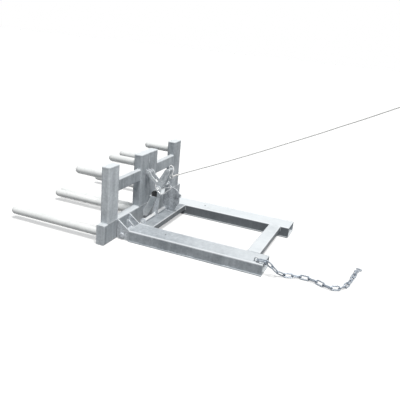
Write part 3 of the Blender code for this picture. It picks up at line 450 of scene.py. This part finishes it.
def finishFor(name):
    return next(finish for finish, starts in solidFinishes.items() if name.startswith(starts))


for name, node in nodes.items():
    node.data.materials.clear()
    node.data.materials.append(materials[finishFor(name)])

softEdges = {"width": 0.0012, "segments": 2, "angle": radians(50)}


def softenEdges(node):
    # A small radius on a plate's or tube's edges, as the zinc leaves it
    weld = node.modifiers.new("joinCorners", "WELD")
    weld.merge_threshold = 0.00002
    bevel = node.modifiers.new("softEdges", "BEVEL")
    bevel.width = softEdges["width"]
    bevel.segments = softEdges["segments"]
    bevel.limit_method = "ANGLE"
    bevel.angle_limit = softEdges["angle"]
    return bevel


softened = ("end_plate", "rail_cap", "upright_cap", "centre_cap", "catch_ear")
edgeLit = ("latch_stand", "latch_lever", "diagonal_brace", "bar_lug", "cheek", "hinge_lug")
for name, node in nodes.items():
    if name.startswith(softened):
        softenEdges(node)
    if name.startswith(edgeLit):
        # The plates' rounded edges get a painted highlight
        node.data.materials.append(materials["edgeHighlightZinc"])
        softenEdges(node).material = 1
print("finishes placed")


# Small mesh helpers
def link(piece):
    bpy.context.scene.collection.objects.link(piece)
    return piece


def meshPiece(name, work, material):
    mesh = bpy.data.meshes.new(name)
    work.to_mesh(mesh)
    work.free()
    piece = link(bpy.data.objects.new(name, mesh))
    mesh.materials.append(materials[material])
    mesh.shade_smooth()
    mesh.set_sharp_from_angle(angle=radians(40))
    return piece


def spunMesh(profile, steps, placing):
    # A turned shape from (radius, height) points, closed at its ends on the axis
    work = bmesh.new()
    ring = [work.verts.new((radius, 0, height)) for radius, height in profile]
    for first, second in zip(ring, ring[1:]):
        work.edges.new((first, second))
    bmesh.ops.spin(
        work, geom=work.verts[:] + work.edges[:], cent=(0, 0, 0), axis=(0, 0, 1),
        angle=2 * pi, steps=steps, use_merge=True, use_duplicate=False,
    )
    bmesh.ops.remove_doubles(work, verts=work.verts, dist=0.00001)
    bmesh.ops.recalc_face_normals(work, faces=work.faces)
    work.transform(placing)
    return work


def framesAlong(points, closed=False):
    # Each point with two directions across the path, which turn along it without a twist
    count = len(points)
    tangents = []
    for index in range(count):
        if closed:
            tangent = points[(index + 1) % count] - points[index - 1]
        else:
            tangent = points[min(index + 1, count - 1)] - points[max(index - 1, 0)]
        tangents.append(tangent.normalized())
    normal = tangents[0].orthogonal().normalized()
    frames = []
    for index in range(count):
        if index:
            normal = tangents[index - 1].rotation_difference(tangents[index]) @ normal
        frames.append((points[index], normal, tangents[index].cross(normal).normalized()))
    return frames


def aroundFrame(frame, angle, radius):
    point, normal, side = frame
    return point + (normal * cos(angle) + side * sin(angle)) * radius


def ringFaces(work, near, far):
    count = len(near)
    return [
        work.faces.new((near[k], near[(k + 1) % count], far[(k + 1) % count], far[k]))
        for k in range(count)
    ]


def tubeAlong(points, radius, sides):
    # A round tube along points, capped at its ends
    work = bmesh.new()
    rings = []
    for frame in framesAlong(points):
        rings.append([work.verts.new(aroundFrame(frame, 2 * pi * k / sides, radius)) for k in range(sides)])
    for near, far in zip(rings, rings[1:]):
        ringFaces(work, near, far)
    work.faces.new(rings[0])
    work.faces.new(rings[-1])
    bmesh.ops.recalc_face_normals(work, faces=work.faces)
    return work


def smoothCurve(points, perSpan=24):
    # A dense curve that passes through every point
    dense = []
    padded = [points[0], *points, points[-1]]
    for index in range(1, len(padded) - 2):
        before, start, end, after = (Vector(padded[index + shift]) for shift in (-1, 0, 1, 2))
        for step in range(perSpan):
            t = step / perSpan
            dense.append(
                0.5 * (2 * start + (end - before) * t
                       + (2 * before - 5 * start + 4 * end - after) * t ** 2
                       + (3 * start - before - 3 * end + after) * t ** 3)
            )
    dense.append(Vector(points[-1]))
    return dense


def evenPath(points, spacing):
    # The smooth curve again, at even steps
    dense = smoothCurve(points)
    lengths = [0.0]
    for first, second in zip(dense, dense[1:]):
        lengths.append(lengths[-1] + (second - first).length)
    count = max(2, int(lengths[-1] / spacing))
    even = []
    index = 0
    for step in range(count + 1):
        target = lengths[-1] * step / count
        while index < len(lengths) - 2 and lengths[index + 1] < target:
            index += 1
        share = (target - lengths[index]) / (lengths[index + 1] - lengths[index])
        even.append(dense[index].lerp(dense[index + 1], share))
    return even


# Geometry node helpers
def pointCarrier(name, places, attributes):
    # Loose points that carry a turn, and for welds a size, for a tree to build on
    mesh = bpy.data.meshes.new(name)
    mesh.from_pydata(places, [], [])
    for label, vectors in attributes.items():
        layer = mesh.attributes.new(label, "FLOAT_VECTOR", "POINT")
        for item, vector in zip(layer.data, vectors):
            item.vector = vector
    return link(bpy.data.objects.new(name, mesh))


def pieceTree(name, inputs):
    geometry = {"Geometry": "NodeSocketGeometry"}
    return newTree(name, "GeometryNodeTree", {**geometry, **inputs}, geometry)


def spreadOnPoints(tree, given, end, shape, attributes):
    # The shape on every point, turned and sized by the point's own values, as one mesh
    inputs = {"Points": given["Geometry"], "Instance": shape}
    for socket, label in attributes.items():
        named = addNode(tree, "GeometryNodeInputNamedAttribute", {"Name": label}, data_type="FLOAT_VECTOR")
        inputs[socket] = named.outputs["Attribute"]
    spread = addNode(tree, "GeometryNodeInstanceOnPoints", inputs)
    real = addNode(tree, "GeometryNodeRealizeInstances", {0: spread.outputs[0]})
    smooth = addNode(tree, "GeometryNodeSetShadeSmooth", {0: real.outputs[0]})
    paint = addNode(tree, "GeometryNodeSetMaterial", {0: smooth.outputs[0], "Material": given["Finish"]})
    setInputs(tree, end, {0: paint.outputs[0]})


def grown(source, tree, values, name):
    # Runs a tree on a carrier object and keeps the result as a plain mesh
    modifier = source.modifiers.new("grow", "NODES")
    modifier.node_group = tree
    for item in tree.interface.items_tree:
        if item.in_out == "INPUT" and item.name in values:
            modifier[item.identifier] = values[item.name]
    bpy.context.view_layer.update()
    graph = bpy.context.evaluated_depsgraph_get()
    mesh = bpy.data.meshes.new_from_object(source.evaluated_get(graph))
    source.modifiers.remove(modifier)
    bpy.data.objects.remove(source, do_unlink=True)
    mesh.name = name
    return link(bpy.data.objects.new(name, mesh))


# Tines, turned finely
tineSizes = {
    "radius": 0.03015,
    "wall": 0.005,
    "nose": 0.034,
    "tip": 0.010,
    "endWall": 0.010,
    "front": -0.1898,        # where the roots meet the head's front face
    "lowerLength": 0.800,
    "lowerHeight": 0.065,
    "lowerPlaces": (-0.565, -0.035, 0.035, 0.565),
    "upperLength": 0.250,
    "upperHeight": 0.485,
    "upperPlaces": (-0.520, -0.080, 0.080, 0.520),
    "rings": 12,             # along the nose, and again along the straight
    "sides": 48,
}


def makeTine(name, x, height, length):
    radius, tip, rings = tineSizes["radius"], tineSizes["tip"], tineSizes["rings"]
    bore = radius - tineSizes["wall"]
    shoulder = length - tineSizes["nose"]
    profile = [(0, length), (tip, length)]
    for step in range(1, rings + 1):
        angle = pi / 2 * (1 - step / rings)
        profile.append((tip + (radius - tip) * cos(angle), shoulder + tineSizes["nose"] * sin(angle)))
    for step in range(1, rings):
        profile.append((radius, shoulder * (1 - step / rings)))
    profile += [(radius, 0), (bore, 0), (bore, shoulder), (0, length - tineSizes["endWall"])]
    placing = Matrix.Translation((x, tineSizes["front"], height)) @ Matrix.Rotation(pi / 2, 4, "X")
    piece = meshPiece(name, spunMesh(profile, tineSizes["sides"], placing), "tineZinc")
    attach(piece, "head")
    return piece


tineNames = ("far_outer", "far_inner", "near_inner", "near_outer")
for label, x in zip(tineNames, tineSizes["lowerPlaces"]):
    tine = makeTine("lowerTine_" + label, x, tineSizes["lowerHeight"], tineSizes["lowerLength"])
    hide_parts("lower_tine_" + label)
for label, x in zip(tineNames, tineSizes["upperPlaces"]):
    tine = makeTine("upperTine_" + label, x, tineSizes["upperHeight"], tineSizes["upperLength"])
    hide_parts("upper_tine_" + label)
print("tines turned")


# Safety chain
chainSizes = {
    "wire": 0.0095,
    "stride": 0.054,         # contact to contact, before it is fitted to the chain's length
    "length": 0.934,
    "width": 0.035,
    "ease": 4,               # links at either end over which the lean changes
    "pocketHeight": 0.084,
    "back": 0.9895,          # the pocket's rear end
    "clearance": 0.0008,
    "floorClearance": 0.0013,
}


def chainRoute(values):
    # Over the pocket's end, down to the floor and along it, to the hook
    lean = (values["width"] - values["wire"]) / 2 * sin(radians(45))
    rest = values["wire"] / 2 + lean + values["floorClearance"]
    upright = values["width"] / 2 + values["clearance"]
    level = values["pocketHeight"] + upright
    back = values["back"]
    return [
        (0.4430, back - 0.042, level),
        (0.4436, back - 0.009, level + 0.003),
        (0.4470, back + 0.022, level),
        (0.4460, back + 0.047, level - 0.018),
        (0.4350, back + 0.072, rest + 0.044),
        (0.4180, back + 0.100, rest + 0.016),
        (0.3950, back + 0.140, rest),
        (0.3700, back + 0.200, rest),
        (0.3560, back + 0.260, rest),
        (0.3640, back + 0.335, rest),
        (0.3980, back + 0.410, rest),
        (0.4020, back + 0.470, rest),
        (0.3500, back + 0.520, rest),
        (0.2620, back + 0.548, rest),
        (0.1600, back + 0.562, upright),
        (0.0600, back + 0.572, upright),
    ]


def equalSteps(points, stride):
    # Points on the smooth curve, each one stride from the last in a straight line
    dense = smoothCurve(points)
    kept = [dense[0]]
    for first, second in zip(dense, dense[1:]):
        while (second - kept[-1]).length >= stride:
            low, high = 0.0, 1.0
            for halving in range(30):
                share = (low + high) / 2
                if (first.lerp(second, share) - kept[-1]).length < stride:
                    low = share
                else:
                    high = share
            kept.append(first.lerp(second, high))
    return kept


def makeLinkTree():
    tree, given, end = pieceTree("linkRow", {
        "Wire": 0.008, "Length": 0.044, "Width": 0.022, "Finish": "NodeSocketMaterial",
    })
    oblong = addNode(tree, "GeometryNodeCurvePrimitiveQuadrilateral", {
        "Width": given["Length"], "Height": given["Width"],
    })
    oval = addNode(tree, "GeometryNodeFilletCurve", {
        "Curve": oblong.outputs[0], "Count": 7, "Limit Radius": True,
        "Radius": mathNode(tree, "MULTIPLY", given["Width"], 0.4999),
    }, mode="POLY")
    ring = addNode(tree, "GeometryNodeCurvePrimitiveCircle", {
        "Resolution": 14, "Radius": mathNode(tree, "MULTIPLY", given["Wire"], 0.5),
    })
    sweep = addNode(tree, "GeometryNodeCurveToMesh", {
        "Curve": oval.outputs[0], "Profile Curve": ring.outputs[0],
    })
    spreadOnPoints(tree, given, end, sweep.outputs[0], {"Rotation": "turn"})
    return tree


def makeChain(values):
    count = round(values["length"] / values["stride"])
    stride = values["length"] / count
    points = equalSteps(chainRoute(values), stride)
    pairs = list(zip(points, points[1:]))[:count]
    last = len(pairs) - 1
    endLean = 0 if last % 2 else 90
    turns = []
    for index, (first, second) in enumerate(pairs):
        along = (second - first).normalized()
        side = Vector((0, 0, 1)).cross(along).normalized()
        # Links lean 45 degrees either way, and stand square to the eye and the hook at the ends
        lean = 45 - 45 * max(0, 1 - index / values["ease"])
        lean += (endLean - 45) * max(0, 1 - (last - index) / values["ease"])
        basis = Matrix((along, side, along.cross(side))).transposed().to_4x4()
        basis = basis @ Matrix.Rotation(radians(lean + 90 * (index % 2)), 4, "X")
        turns.append(basis.to_euler("XYZ"))
    carrier = pointCarrier("chainPoints", [(first + second) / 2 for first, second in pairs], {"turn": turns})
    chain = grown(carrier, makeLinkTree(), {
        "Wire": values["wire"],
        "Length": stride + values["wire"],
        "Width": values["width"] - values["wire"],
        "Finish": materials["chainBrightZinc"],
    }, "safetyChainLinks")
    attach(chain, "base")
    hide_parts("safety_chain")


makeChain(chainSizes)
print("chain linked")


# Weld beads: one ripple after another along each seam, on the near side (x above 0) and mirrored
weldSizes = {
    "fillet": 0.0036,        # half the width of a bead in a corner
    "seam": 0.0020,          # and of a bead on a flush joint
    "stand": 0.001,          # a corner bead's middle stands off both faces by this
    "inset": 0.008,          # beads stop short of a tube's rounded corners
    "capInset": 0.009,
    "railInset": 0.007,
    "endInset": 0.010,
    "crossInset": 0.006,
    "post": (0.0092, 0.136),
    "upright": (0.452, 0.588),
    "headBack": -0.1245,
    "headFront": -0.1895,
    "railTop": 0.150,
    "railEnd": 0.630,
    "railEndSeam": (0.010, 0.140),
    "capSeam": 0.557,
    "upperRail": (0.363, 0.452),
    "upperRailFront": -0.1645,
    "hingeLugs": (0.3195, 0.4445),
    "hingeLugSeam": (0.022, 0.094),
    "tineRing": 0.0312,
    "postStitches": (0.165, 0.270, 0.375, 0.480),
    "postStitch": 0.040,
    "catchEars": (0.0115, 0.0605),
    "catchEarSeam": (0.386, 0.432),
    "brace": (0.0495, 0.0625),
    "braceSeam": (0.054, 0.101),
    "braceTop": 0.1055,
    "plate": -0.0305,
    "pocketInside": 0.297,
    "pocketOutside": 0.467,
    "pocketTop": 0.084,
    "plateSeam": (0.010, 0.074),
    "pocketSeam": (0.014, 0.074),
    "crossLow": 0.036,
    "frontCross": (-0.0305, 0.0895),
    "rearCross": (0.8265, 0.9215),
    "floorStitch": 0.045,
    "floorStitches": (0.020, 0.140, 7),          # first, spacing and number
    "floorHeight": 0.0072,
    "foot": 0.0851,
    "broadStand": ((-0.0838, -0.0962), (-0.024, 0.072)),
    "slimStand": ((0.0788, 0.0912), (-0.030, 0.008)),
    "barLug": ((0.2628, 0.2772), (-0.032, 0.009)),
    "bar": (-0.0115, 0.0973),
    "barBead": 0.0142,
    "pinBead": 0.0140,
    "slimArc": (-40, 260),       # first angle and sweep, in degrees
    "lugArc": (-20, 220),
    "leverPlates": (0.0722, -0.0002, 0.0122, 0.0598),
    "leverBeads": [(0.0020, (0.004, 0.310), 0.0160), (0.0018, (0.066, 0.4585), 0.0100)],
    "rippleLength": 0.85,        # shares of the bead's size
    "rippleHeight": 0.8,
    "rippleStep": 0.95,
}


def ringPath(centre, radius, across, start=0, sweep=360):
    # A circle or an arc whose axis is X or Y
    steps = 40
    points = []
    for step in range(steps + 1):
        angle = radians(start + sweep * step / steps)
        u, v = radius * cos(angle), radius * sin(angle)
        offset = (0, u, v) if across == "X" else (u, 0, v)
        points.append(tuple(Vector(centre) + Vector(offset)))
    return points


def bothSides(rows):
    return rows + [(size, [(-x, y, z) for x, y, z in points]) for size, points in rows]


def straight(size, x, y, z):
    # A bead along the axis whose value is a pair of ends
    starts, stops = ([v[k] if isinstance(v, tuple) else v for v in (x, y, z)] for k in (0, 1))
    return (size, [tuple(starts), tuple(stops)])


def headSeams(w):
    fillet, seam, stand, inset = w["fillet"], w["seam"], w["stand"], w["inset"]
    back, front = w["headBack"], w["headFront"]
    deep = (front + inset, back - inset)
    deepCap = (front + w["capInset"], back - w["capInset"])
    deepEnd = (front + w["endInset"], back - w["endInset"])
    railLow, railHigh = w["upperRail"]
    uprightInner = w["upright"][0]
    rows = []
    for inner, outer in (w["post"], w["upright"]):
        for y in (back, front):
            for z in (w["railTop"], w["capSeam"]):
                rows.append(straight(seam, (inner + inset, outer - inset), y, z))
        rows.append(straight(seam, outer, deepCap, w["capSeam"]))
        rows.append(straight(fillet, outer + stand, deep, w["railTop"] + stand))
    rows.append(straight(fillet, uprightInner - stand, deep, w["railTop"] + stand))
    rows.append(straight(seam, uprightInner, deepCap, w["capSeam"]))
    for x in (w["post"][1] + stand, uprightInner - stand):
        rows.append(straight(seam, x, back, (railLow + w["railInset"], railHigh - w["railInset"])))
        for z in (railLow - stand, railHigh + stand):
            rows.append(straight(fillet, x, (w["upperRailFront"] + w["railInset"], back - inset), z))
    rows.append(straight(seam, w["railEnd"], deepEnd, w["railTop"]))
    for y in (back, front):
        rows.append(straight(seam, w["railEnd"], y, w["railEndSeam"]))
    for x in w["hingeLugs"]:
        rows.append(straight(fillet, x, back + stand, w["hingeLugSeam"]))
    for level in ("lower", "upper"):
        for x in tineSizes[level + "Places"][2:]:
            centre = (x, front - stand, tineSizes[level + "Height"])
            rows.append((fillet, ringPath(centre, w["tineRing"], "Y")))
    rows = bothSides(rows)
    for low in w["postStitches"]:
        rows.append(straight(fillet, 0, back - 3 * stand, (low, low + w["postStitch"])))
    for x in w["catchEars"]:
        rows.append(straight(seam, x, back + stand, w["catchEarSeam"]))
    for x in w["brace"]:
        rows.append(straight(seam, x, back + stand, w["braceSeam"]))
    across = (w["brace"][0] + 1.5 * stand, w["brace"][1] - 1.5 * stand)
    rows.append(straight(fillet, across, back + stand, w["braceTop"]))
    return rows


def baseSeams(w):
    fillet, seam, stand, inset = w["fillet"], w["seam"], w["stand"], w["crossInset"]
    inside, outside, top = w["pocketInside"], w["pocketOutside"], w["pocketTop"]
    rows = []
    for near, far in (w["frontCross"], w["rearCross"]):
        rows.append(straight(fillet, inside + stand, (near + inset, far - inset), top - 1.4 * stand))
        for y in (near - 1.2 * stand, far + 1.2 * stand):
            rows.append(straight(seam, inside - 0.8 * stand, y, (w["crossLow"] + inset, top - inset)))
    behind = w["plate"] + 8.1 * stand
    rows.append(straight(seam, (inside + w["endInset"], outside - w["endInset"]), behind, top))
    rows.append(straight(seam, outside, behind, w["pocketSeam"]))
    rows.append(straight(seam, outside, w["plate"], w["plateSeam"]))
    first, spacing, number = w["floorStitches"]
    for step in range(number):
        y = first + spacing * step
        rows.append(straight(seam, outside + 1.2 * stand, (y, y + w["floorStitch"]), w["floorHeight"]))
    rows = bothSides(rows)
    for size, label in ((fillet, "broadStand"), (fillet, "slimStand"), (seam, "barLug")):
        sides, ends = w[label]
        for x in sides:
            rows.append(straight(size, x, ends, w["foot"]))
    broad, slim, lug = w["broadStand"][0][0], w["slimStand"][0][1], w["barLug"][0][1]
    rows.append((fillet, ringPath((broad, *w["bar"]), w["barBead"], "X")))
    rows.append((seam, ringPath((slim, *w["bar"]), w["pinBead"], "X", *w["slimArc"])))
    rows.append((seam, ringPath((lug, *w["bar"]), w["pinBead"], "X", *w["lugArc"])))
    return rows


def latchSeams(w):
    return [
        (size, ringPath((x, *centre), radius, "X"))
        for x in w["leverPlates"] for size, centre, radius in w["leverBeads"]
    ]


def makeWeldTree():
    tree, given, end = pieceTree("weldRipples", {"Finish": "NodeSocketMaterial"})
    ripple = addNode(tree, "GeometryNodeMeshUVSphere", {"Segments": 8, "Rings": 5, "Radius": 1.0})
    spreadOnPoints(tree, given, end, ripple.outputs[0], {"Rotation": "turn", "Scale": "size"})
    return tree


def weldRow(name, body, rows, w, tree):
    places, turns, sizes = [], [], []
    for size, points in rows:
        travelled = 0.0
        for first, second in zip(points, points[1:]):
            first, second = Vector(first), Vector(second)
            along = second - first
            euler = along.to_track_quat("X", "Z").to_euler()
            while travelled < along.length:
                count = len(places)
                wavy = size * (1 + 0.12 * sin(count * 2.3) + 0.08 * sin(count * 0.71))
                places.append(first + along.normalized() * travelled)
                turns.append(euler)
                sizes.append((size * w["rippleLength"], wavy, wavy * w["rippleHeight"]))
                travelled += size * w["rippleStep"]
            travelled -= along.length
    carrier = pointCarrier(name + "Points", places, {"turn": turns, "size": sizes})
    welds = grown(carrier, tree, {"Finish": materials["weldZinc"]}, name)
    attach(welds, body)


weldTree = makeWeldTree()
weldRow("headWelds", "head", headSeams(weldSizes), weldSizes, weldTree)
weldRow("baseWelds", "base", baseSeams(weldSizes), weldSizes, weldTree)
weldRow("latchWelds", "latch", latchSeams(weldSizes), weldSizes, weldTree)
print("welds laid")


# Rings, washers and clips that hold the pins
pinSizes = {
    "hinge": (-0.0775, 0.035),
    "hingeInner": 0.2968,
    "hingeCollar": (0.0121, 0.0163, 0.0016),     # inner and outer radius, and thickness
    "pivot": (0.004, 0.310),
    "pivotHead": 0.0973,
    "pivotBack": -0.0953,
    "pivotWasher": (0.0082, 0.0150, 0.0020),
    "pinEnd": [(0.0002, 0), (0.0065, 0), (0.0065, 0.0110), (0.0052, 0.0125), (0.0002, 0.0125)],
    "catch": (-0.0965, 0.4125),
    "catchPlaces": (-0.0018, 0.0724),
    "catchCollar": (0.0078, 0.0110, 0.0014),
    "splitWire": 0.0011,
    "splitPlace": 0.0050,
    "splitPath": [              # along Y and Z from the pivot, as for the hairpin
        (0.003, -0.016), (0.0012, -0.010), (0.001, 0), (0.001, 0.010), (0.003, 0.0155), (0, 0.0185),
        (-0.003, 0.0155), (-0.001, 0.010), (-0.001, 0), (-0.0012, -0.010), (-0.006, -0.015),
    ],
    "hairpinWire": 0.0026,
    "hairpinPlace": 0.0065,
    "hairpinPath": [
        (-0.012, 0.016), (-0.004, 0.0095), (0.010, 0.0060), (0.030, 0.0075), (0.055, 0.0175),
        (0.085, 0.0310), (0.107, 0.0400), (0.117, 0.0370), (0.115, 0.0265), (0.098, 0.0130),
        (0.078, -0.0060), (0.058, -0.0260), (0.040, -0.0290), (0.022, -0.0200), (0.004, -0.0110),
        (-0.012, -0.0080), (-0.024, -0.0130),
    ],
}


def turnedRing(name, profile, place, body, steps=48):
    # A ring round an axis along X, from (radius, distance along X) points
    work = bmesh.new()
    rings = []
    for step in range(steps):
        angle = 2 * pi * step / steps
        rings.append([
            work.verts.new((place[0] + along, place[1] + radius * cos(angle), place[2] + radius * sin(angle)))
            for radius, along in profile
        ])
    for step in range(steps):
        ringFaces(work, rings[step], rings[(step + 1) % steps])
    bmesh.ops.recalc_face_normals(work, faces=work.faces)
    piece = meshPiece(name, work, "pinBrightZinc")
    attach(piece, body)


def washerProfile(inner, outer, thick):
    ease = min(0.0005, thick / 3)
    return [
        (inner, 0), (outer - ease, 0), (outer, ease), (outer, thick - ease), (outer - ease, thick),
        (inner, thick),
    ]


def bentWire(name, x, pivot, path, radius, body, spacing):
    # Bent wire in a plane across X, along a path given from the pivot
    points = [(x, pivot[0] + run, pivot[1] + rise) for run, rise in path]
    piece = meshPiece(name, tubeAlong(evenPath(points, spacing), radius, 14), "pinBrightZinc")
    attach(piece, body)


def makePinParts(v):
    inner, thick = v["hingeInner"], v["hingeCollar"][2]
    collar = washerProfile(*v["hingeCollar"])
    turnedRing("hingeRingNear", collar, (inner - thick, *v["hinge"]), "base")
    turnedRing("hingeRingFar", collar, (-inner, *v["hinge"]), "base")
    behind = v["pivotBack"] - v["pivotWasher"][2]
    turnedRing("pivotWasherFar", washerProfile(*v["pivotWasher"]), (behind, *v["pivot"]), "base")
    bentWire("pivotSplitPin", v["pivotBack"] - v["splitPlace"], v["pivot"], v["splitPath"],
             v["splitWire"], "base", 0.0012)
    collar = washerProfile(*v["catchCollar"])
    for label, x in zip(("Far", "Near"), v["catchPlaces"]):
        turnedRing("catchRing" + label, collar, (x, *v["catch"]), "head")
    # The pivot pin's near end, with its bright spring clip
    turnedRing("pivotPinEnd", v["pinEnd"], (v["pivotHead"], *v["pivot"]), "base", 32)
    bentWire("pivotHairpin", v["pivotHead"] + v["hairpinPlace"], v["pivot"], v["hairpinPath"],
             v["hairpinWire"], "base", 0.0025)


makePinParts(pinSizes)
print("pins held")


# Pull rope
ropeSizes = {
    "diameter": 0.008,
    "side": 0.036,           # the lever ring's place across the lifter
    "ring": (0.090, 0.414),  # the lever ring's centre
    "layLength": 0.030,
    "strands": 3,
    "sides": 18,
    "grooveDepth": 0.16,     # share of the radius
    "step": 0.0035,
    "nearEye": 0.014,
    "farEye": 0.035,
    "throat": 0.72,          # radius of the rope's two legs under the seizing, in diameters
    "seizing": 0.76,
    "seizingCord": 0.0026,
    "seizingTurns": 9,
}


def ropeRoute(values):
    # From the lever's ring up to the hand loop, as steps from the ring's centre
    height = [
        (0.0525, 0.0244), (0.0955, 0.0450), (0.2385, 0.1110), (0.3915, 0.1810), (0.5345, 0.2490),
        (0.6775, 0.3180), (0.8145, 0.3860), (0.9415, 0.4490), (1.0655, 0.5110), (1.1885, 0.5750),
        (1.3105, 0.6370), (1.4185, 0.6940), (1.5275, 0.7520),
    ]
    y, z = values["ring"]
    return [(values["side"], y + run, z + rise) for run, rise in height]


def laidRope(name, points, values, closed=False):
    # A rope of twisted strands: the tube's section has one lobe for each strand and turns along it
    sides = values["sides"]
    radius = values["diameter"] / 2
    work = bmesh.new()
    uvLayer = work.loops.layers.uv.new("ropeUV")
    grooveLayer = work.verts.layers.float.new("grooveShade")
    travelled = 0.0
    rings = []
    spots = []
    for index, frame in enumerate(framesAlong(points, closed)):
        if index:
            travelled += (points[index] - points[index - 1]).length
        twist = 2 * pi * travelled / values["layLength"]
        ring = []
        for k in range(sides):
            angle = 2 * pi * k / sides
            lobe = abs(cos((angle - twist) * values["strands"] / 2))
            size = radius * (1 - values["grooveDepth"] * (1 - lobe))
            vert = work.verts.new(aroundFrame(frame, angle, size))
            # The groove mask, which the rope's material darkens as painted shade
            vert[grooveLayer] = max(0.0, 1.0 - 1.6 * lobe)
            ring.append(vert)
        rings.append(ring)
        spots.append(travelled)
    for index in range(len(rings) - 1):
        before, after = spots[index], spots[index + 1]
        for k, face in enumerate(ringFaces(work, rings[index], rings[index + 1])):
            corners = ((k, before), (k + 1, before), (k + 1, after), (k, after))
            for loop, (u, v) in zip(face.loops, corners):
                loop[uvLayer].uv = (u / sides, v / (pi * values["diameter"]))
    if closed:
        best = min(range(sides), key=lambda k: (rings[0][k].co - rings[-1][0].co).length)
        ringFaces(work, rings[-1], rings[0][best:] + rings[0][:best])
    else:
        work.faces.new(rings[0])
        work.faces.new(rings[-1])
    bmesh.ops.recalc_face_normals(work, faces=work.faces)
    return meshPiece(name, work, "ropeLaidFibre")


def wrapsRound(name, start, end, radius, turns, cord):
    # Seizing: close turns of thin cord round the place where the loop's end meets the rope
    axis = (end - start).normalized()
    normal = axis.orthogonal().normalized()
    side = axis.cross(normal)
    perTurn = 16
    steps = turns * perTurn
    points = [
        aroundFrame((start.lerp(end, index / steps), normal, side), 2 * pi * index / perTurn, radius)
        for index in range(steps + 1)
    ]
    return meshPiece(name, tubeAlong(points, cord / 2, 8), "ropeLaidFibre")


def ropeEye(name, end, towards, radius, upright, values):
    # The rope's eye: round the ring and back on itself, held by seizing
    diameter = values["diameter"]
    end = Vector(end)
    along = (Vector(towards) - end).normalized()
    side = Vector((1, 0, 0)).cross(along) if upright else Vector((1, 0, 0))
    knotStart = end + along * 0.0003
    knotEnd = knotStart + along * 3 * diameter
    centre = knotEnd + along * (radius - diameter / 4)
    steps = 72
    points = [
        aroundFrame((centre, along, side), 2 * pi * step / steps, radius)
        for step in range(steps)
    ]
    loop = laidRope(name, points, values, closed=True)
    core = meshPiece(
        name + "Throat", tubeAlong([knotStart, knotEnd], diameter * values["throat"], 20), "ropeLaidFibre",
    )
    wraps = wrapsRound(
        name + "Seizing", knotStart + along * 0.002, knotEnd - along * 0.002,
        diameter * values["seizing"], values["seizingTurns"], values["seizingCord"],
    )
    for piece in (loop, core, wraps):
        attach(piece, "rope")
    return [loop, core, wraps]


def makeRope(values):
    route = ropeRoute(values)
    points = evenPath(route, values["step"])
    rope = laidRope("pullRopeStrands", points, values)
    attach(rope, "rope")
    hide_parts("pull_rope")
    ring = (values["side"], *values["ring"])
    near = ropeEye("ropeEyeNear", route[0], ring, values["nearEye"], False, values)
    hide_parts("rope_loop_near")
    ahead = Vector(route[-1]) + (Vector(route[-1]) - Vector(route[-2]))
    far = ropeEye("ropeEyeFar", route[-1], ahead, values["farEye"], True, values)
    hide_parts("rope_loop_far")


makeRope(ropeSizes)
print("rope laid")


# Studio
studio = {
    "floorSize": 30,
    "floorDrop": 0.0008,         # below the lowest face, so that the two don't flicker
    "floorSeen": (0.95, 0.95, 0.95),
    "floorClear": 0.55,          # share of the camera's view that passes through the floor
    "floorBounce": (0.22, 0.22, 0.22),
    "skyColour": (0.82, 0.92, 1.0),
    "skyStrength": 0.225,
    "keyStrength": 3.75,
    "keyColour": (1.0, 0.985, 0.96),
    "keyHeading": (-0.20, -0.27, -0.94),
    "keySpread": 20,
}


def seenRays(tree):
    # One for rays that show the background: from the camera, in reflections and through glass
    path = tree.nodes.new("ShaderNodeLightPath").outputs
    both = mathNode(tree, "ADD", path["Is Camera Ray"], path["Is Glossy Ray"])
    return mathNode(tree, "ADD", both, path["Is Transmission Ray"], clamp=True)


def mixShaders(tree, factor, first, second):
    return addNode(tree, "ShaderNodeMixShader", {0: factor, 1: first, 2: second}).outputs[0]


def makeFloor(values):
    work = bmesh.new()
    bmesh.ops.create_grid(work, x_segments=1, y_segments=1, size=values["floorSize"])
    mesh = bpy.data.meshes.new("studioFloor")
    work.to_mesh(mesh)
    work.free()
    floor = link(bpy.data.objects.new("studioFloor", mesh))
    floor.location.z = -values["floorDrop"]
    material, tree = newMaterial("paleFloor")[:2]
    tree.nodes.clear()
    seen = addNode(tree, "ShaderNodeBsdfDiffuse", {"Color": (*values["floorSeen"], 1)}).outputs[0]
    # What tilts below the ground stays visible through it
    clear = addNode(tree, "ShaderNodeBsdfTransparent", {"Color": (1, 1, 1, 1)}).outputs[0]
    shown = mixShaders(tree, values["floorClear"], seen, clear)
    bounce = addNode(tree, "ShaderNodeBsdfDiffuse", {"Color": (*values["floorBounce"], 1)}).outputs[0]
    surface = mixShaders(tree, seenRays(tree), bounce, shown)
    addNode(tree, "ShaderNodeOutputMaterial", {"Surface": surface})
    mesh.materials.append(material)


def makeWorld(values):
    world = bpy.data.worlds.new("studioWorld")
    world.use_nodes = True
    bpy.context.scene.world = world
    tree = world.node_tree
    tree.nodes.clear()
    light = addNode(tree, "ShaderNodeBackground", {
        "Color": (*values["skyColour"], 1), "Strength": values["skyStrength"],
    }).outputs[0]
    seen = addNode(tree, "ShaderNodeBackground", {"Color": (1, 1, 1, 1), "Strength": 1.0}).outputs[0]
    addNode(tree, "ShaderNodeOutputWorld", {"Surface": mixShaders(tree, seenRays(tree), light, seen)})


def makeLights(values):
    sun = bpy.data.lights.new("keySun", "SUN")
    sun.energy = values["keyStrength"]
    sun.angle = radians(values["keySpread"])
    sun.color = values["keyColour"]
    key = link(bpy.data.objects.new("keySun", sun))
    key.rotation_euler = Vector(values["keyHeading"]).to_track_quat("-Z", "Y").to_euler()


makeFloor(studio)
makeWorld(studio)
makeLights(studio)
print("studio lit")
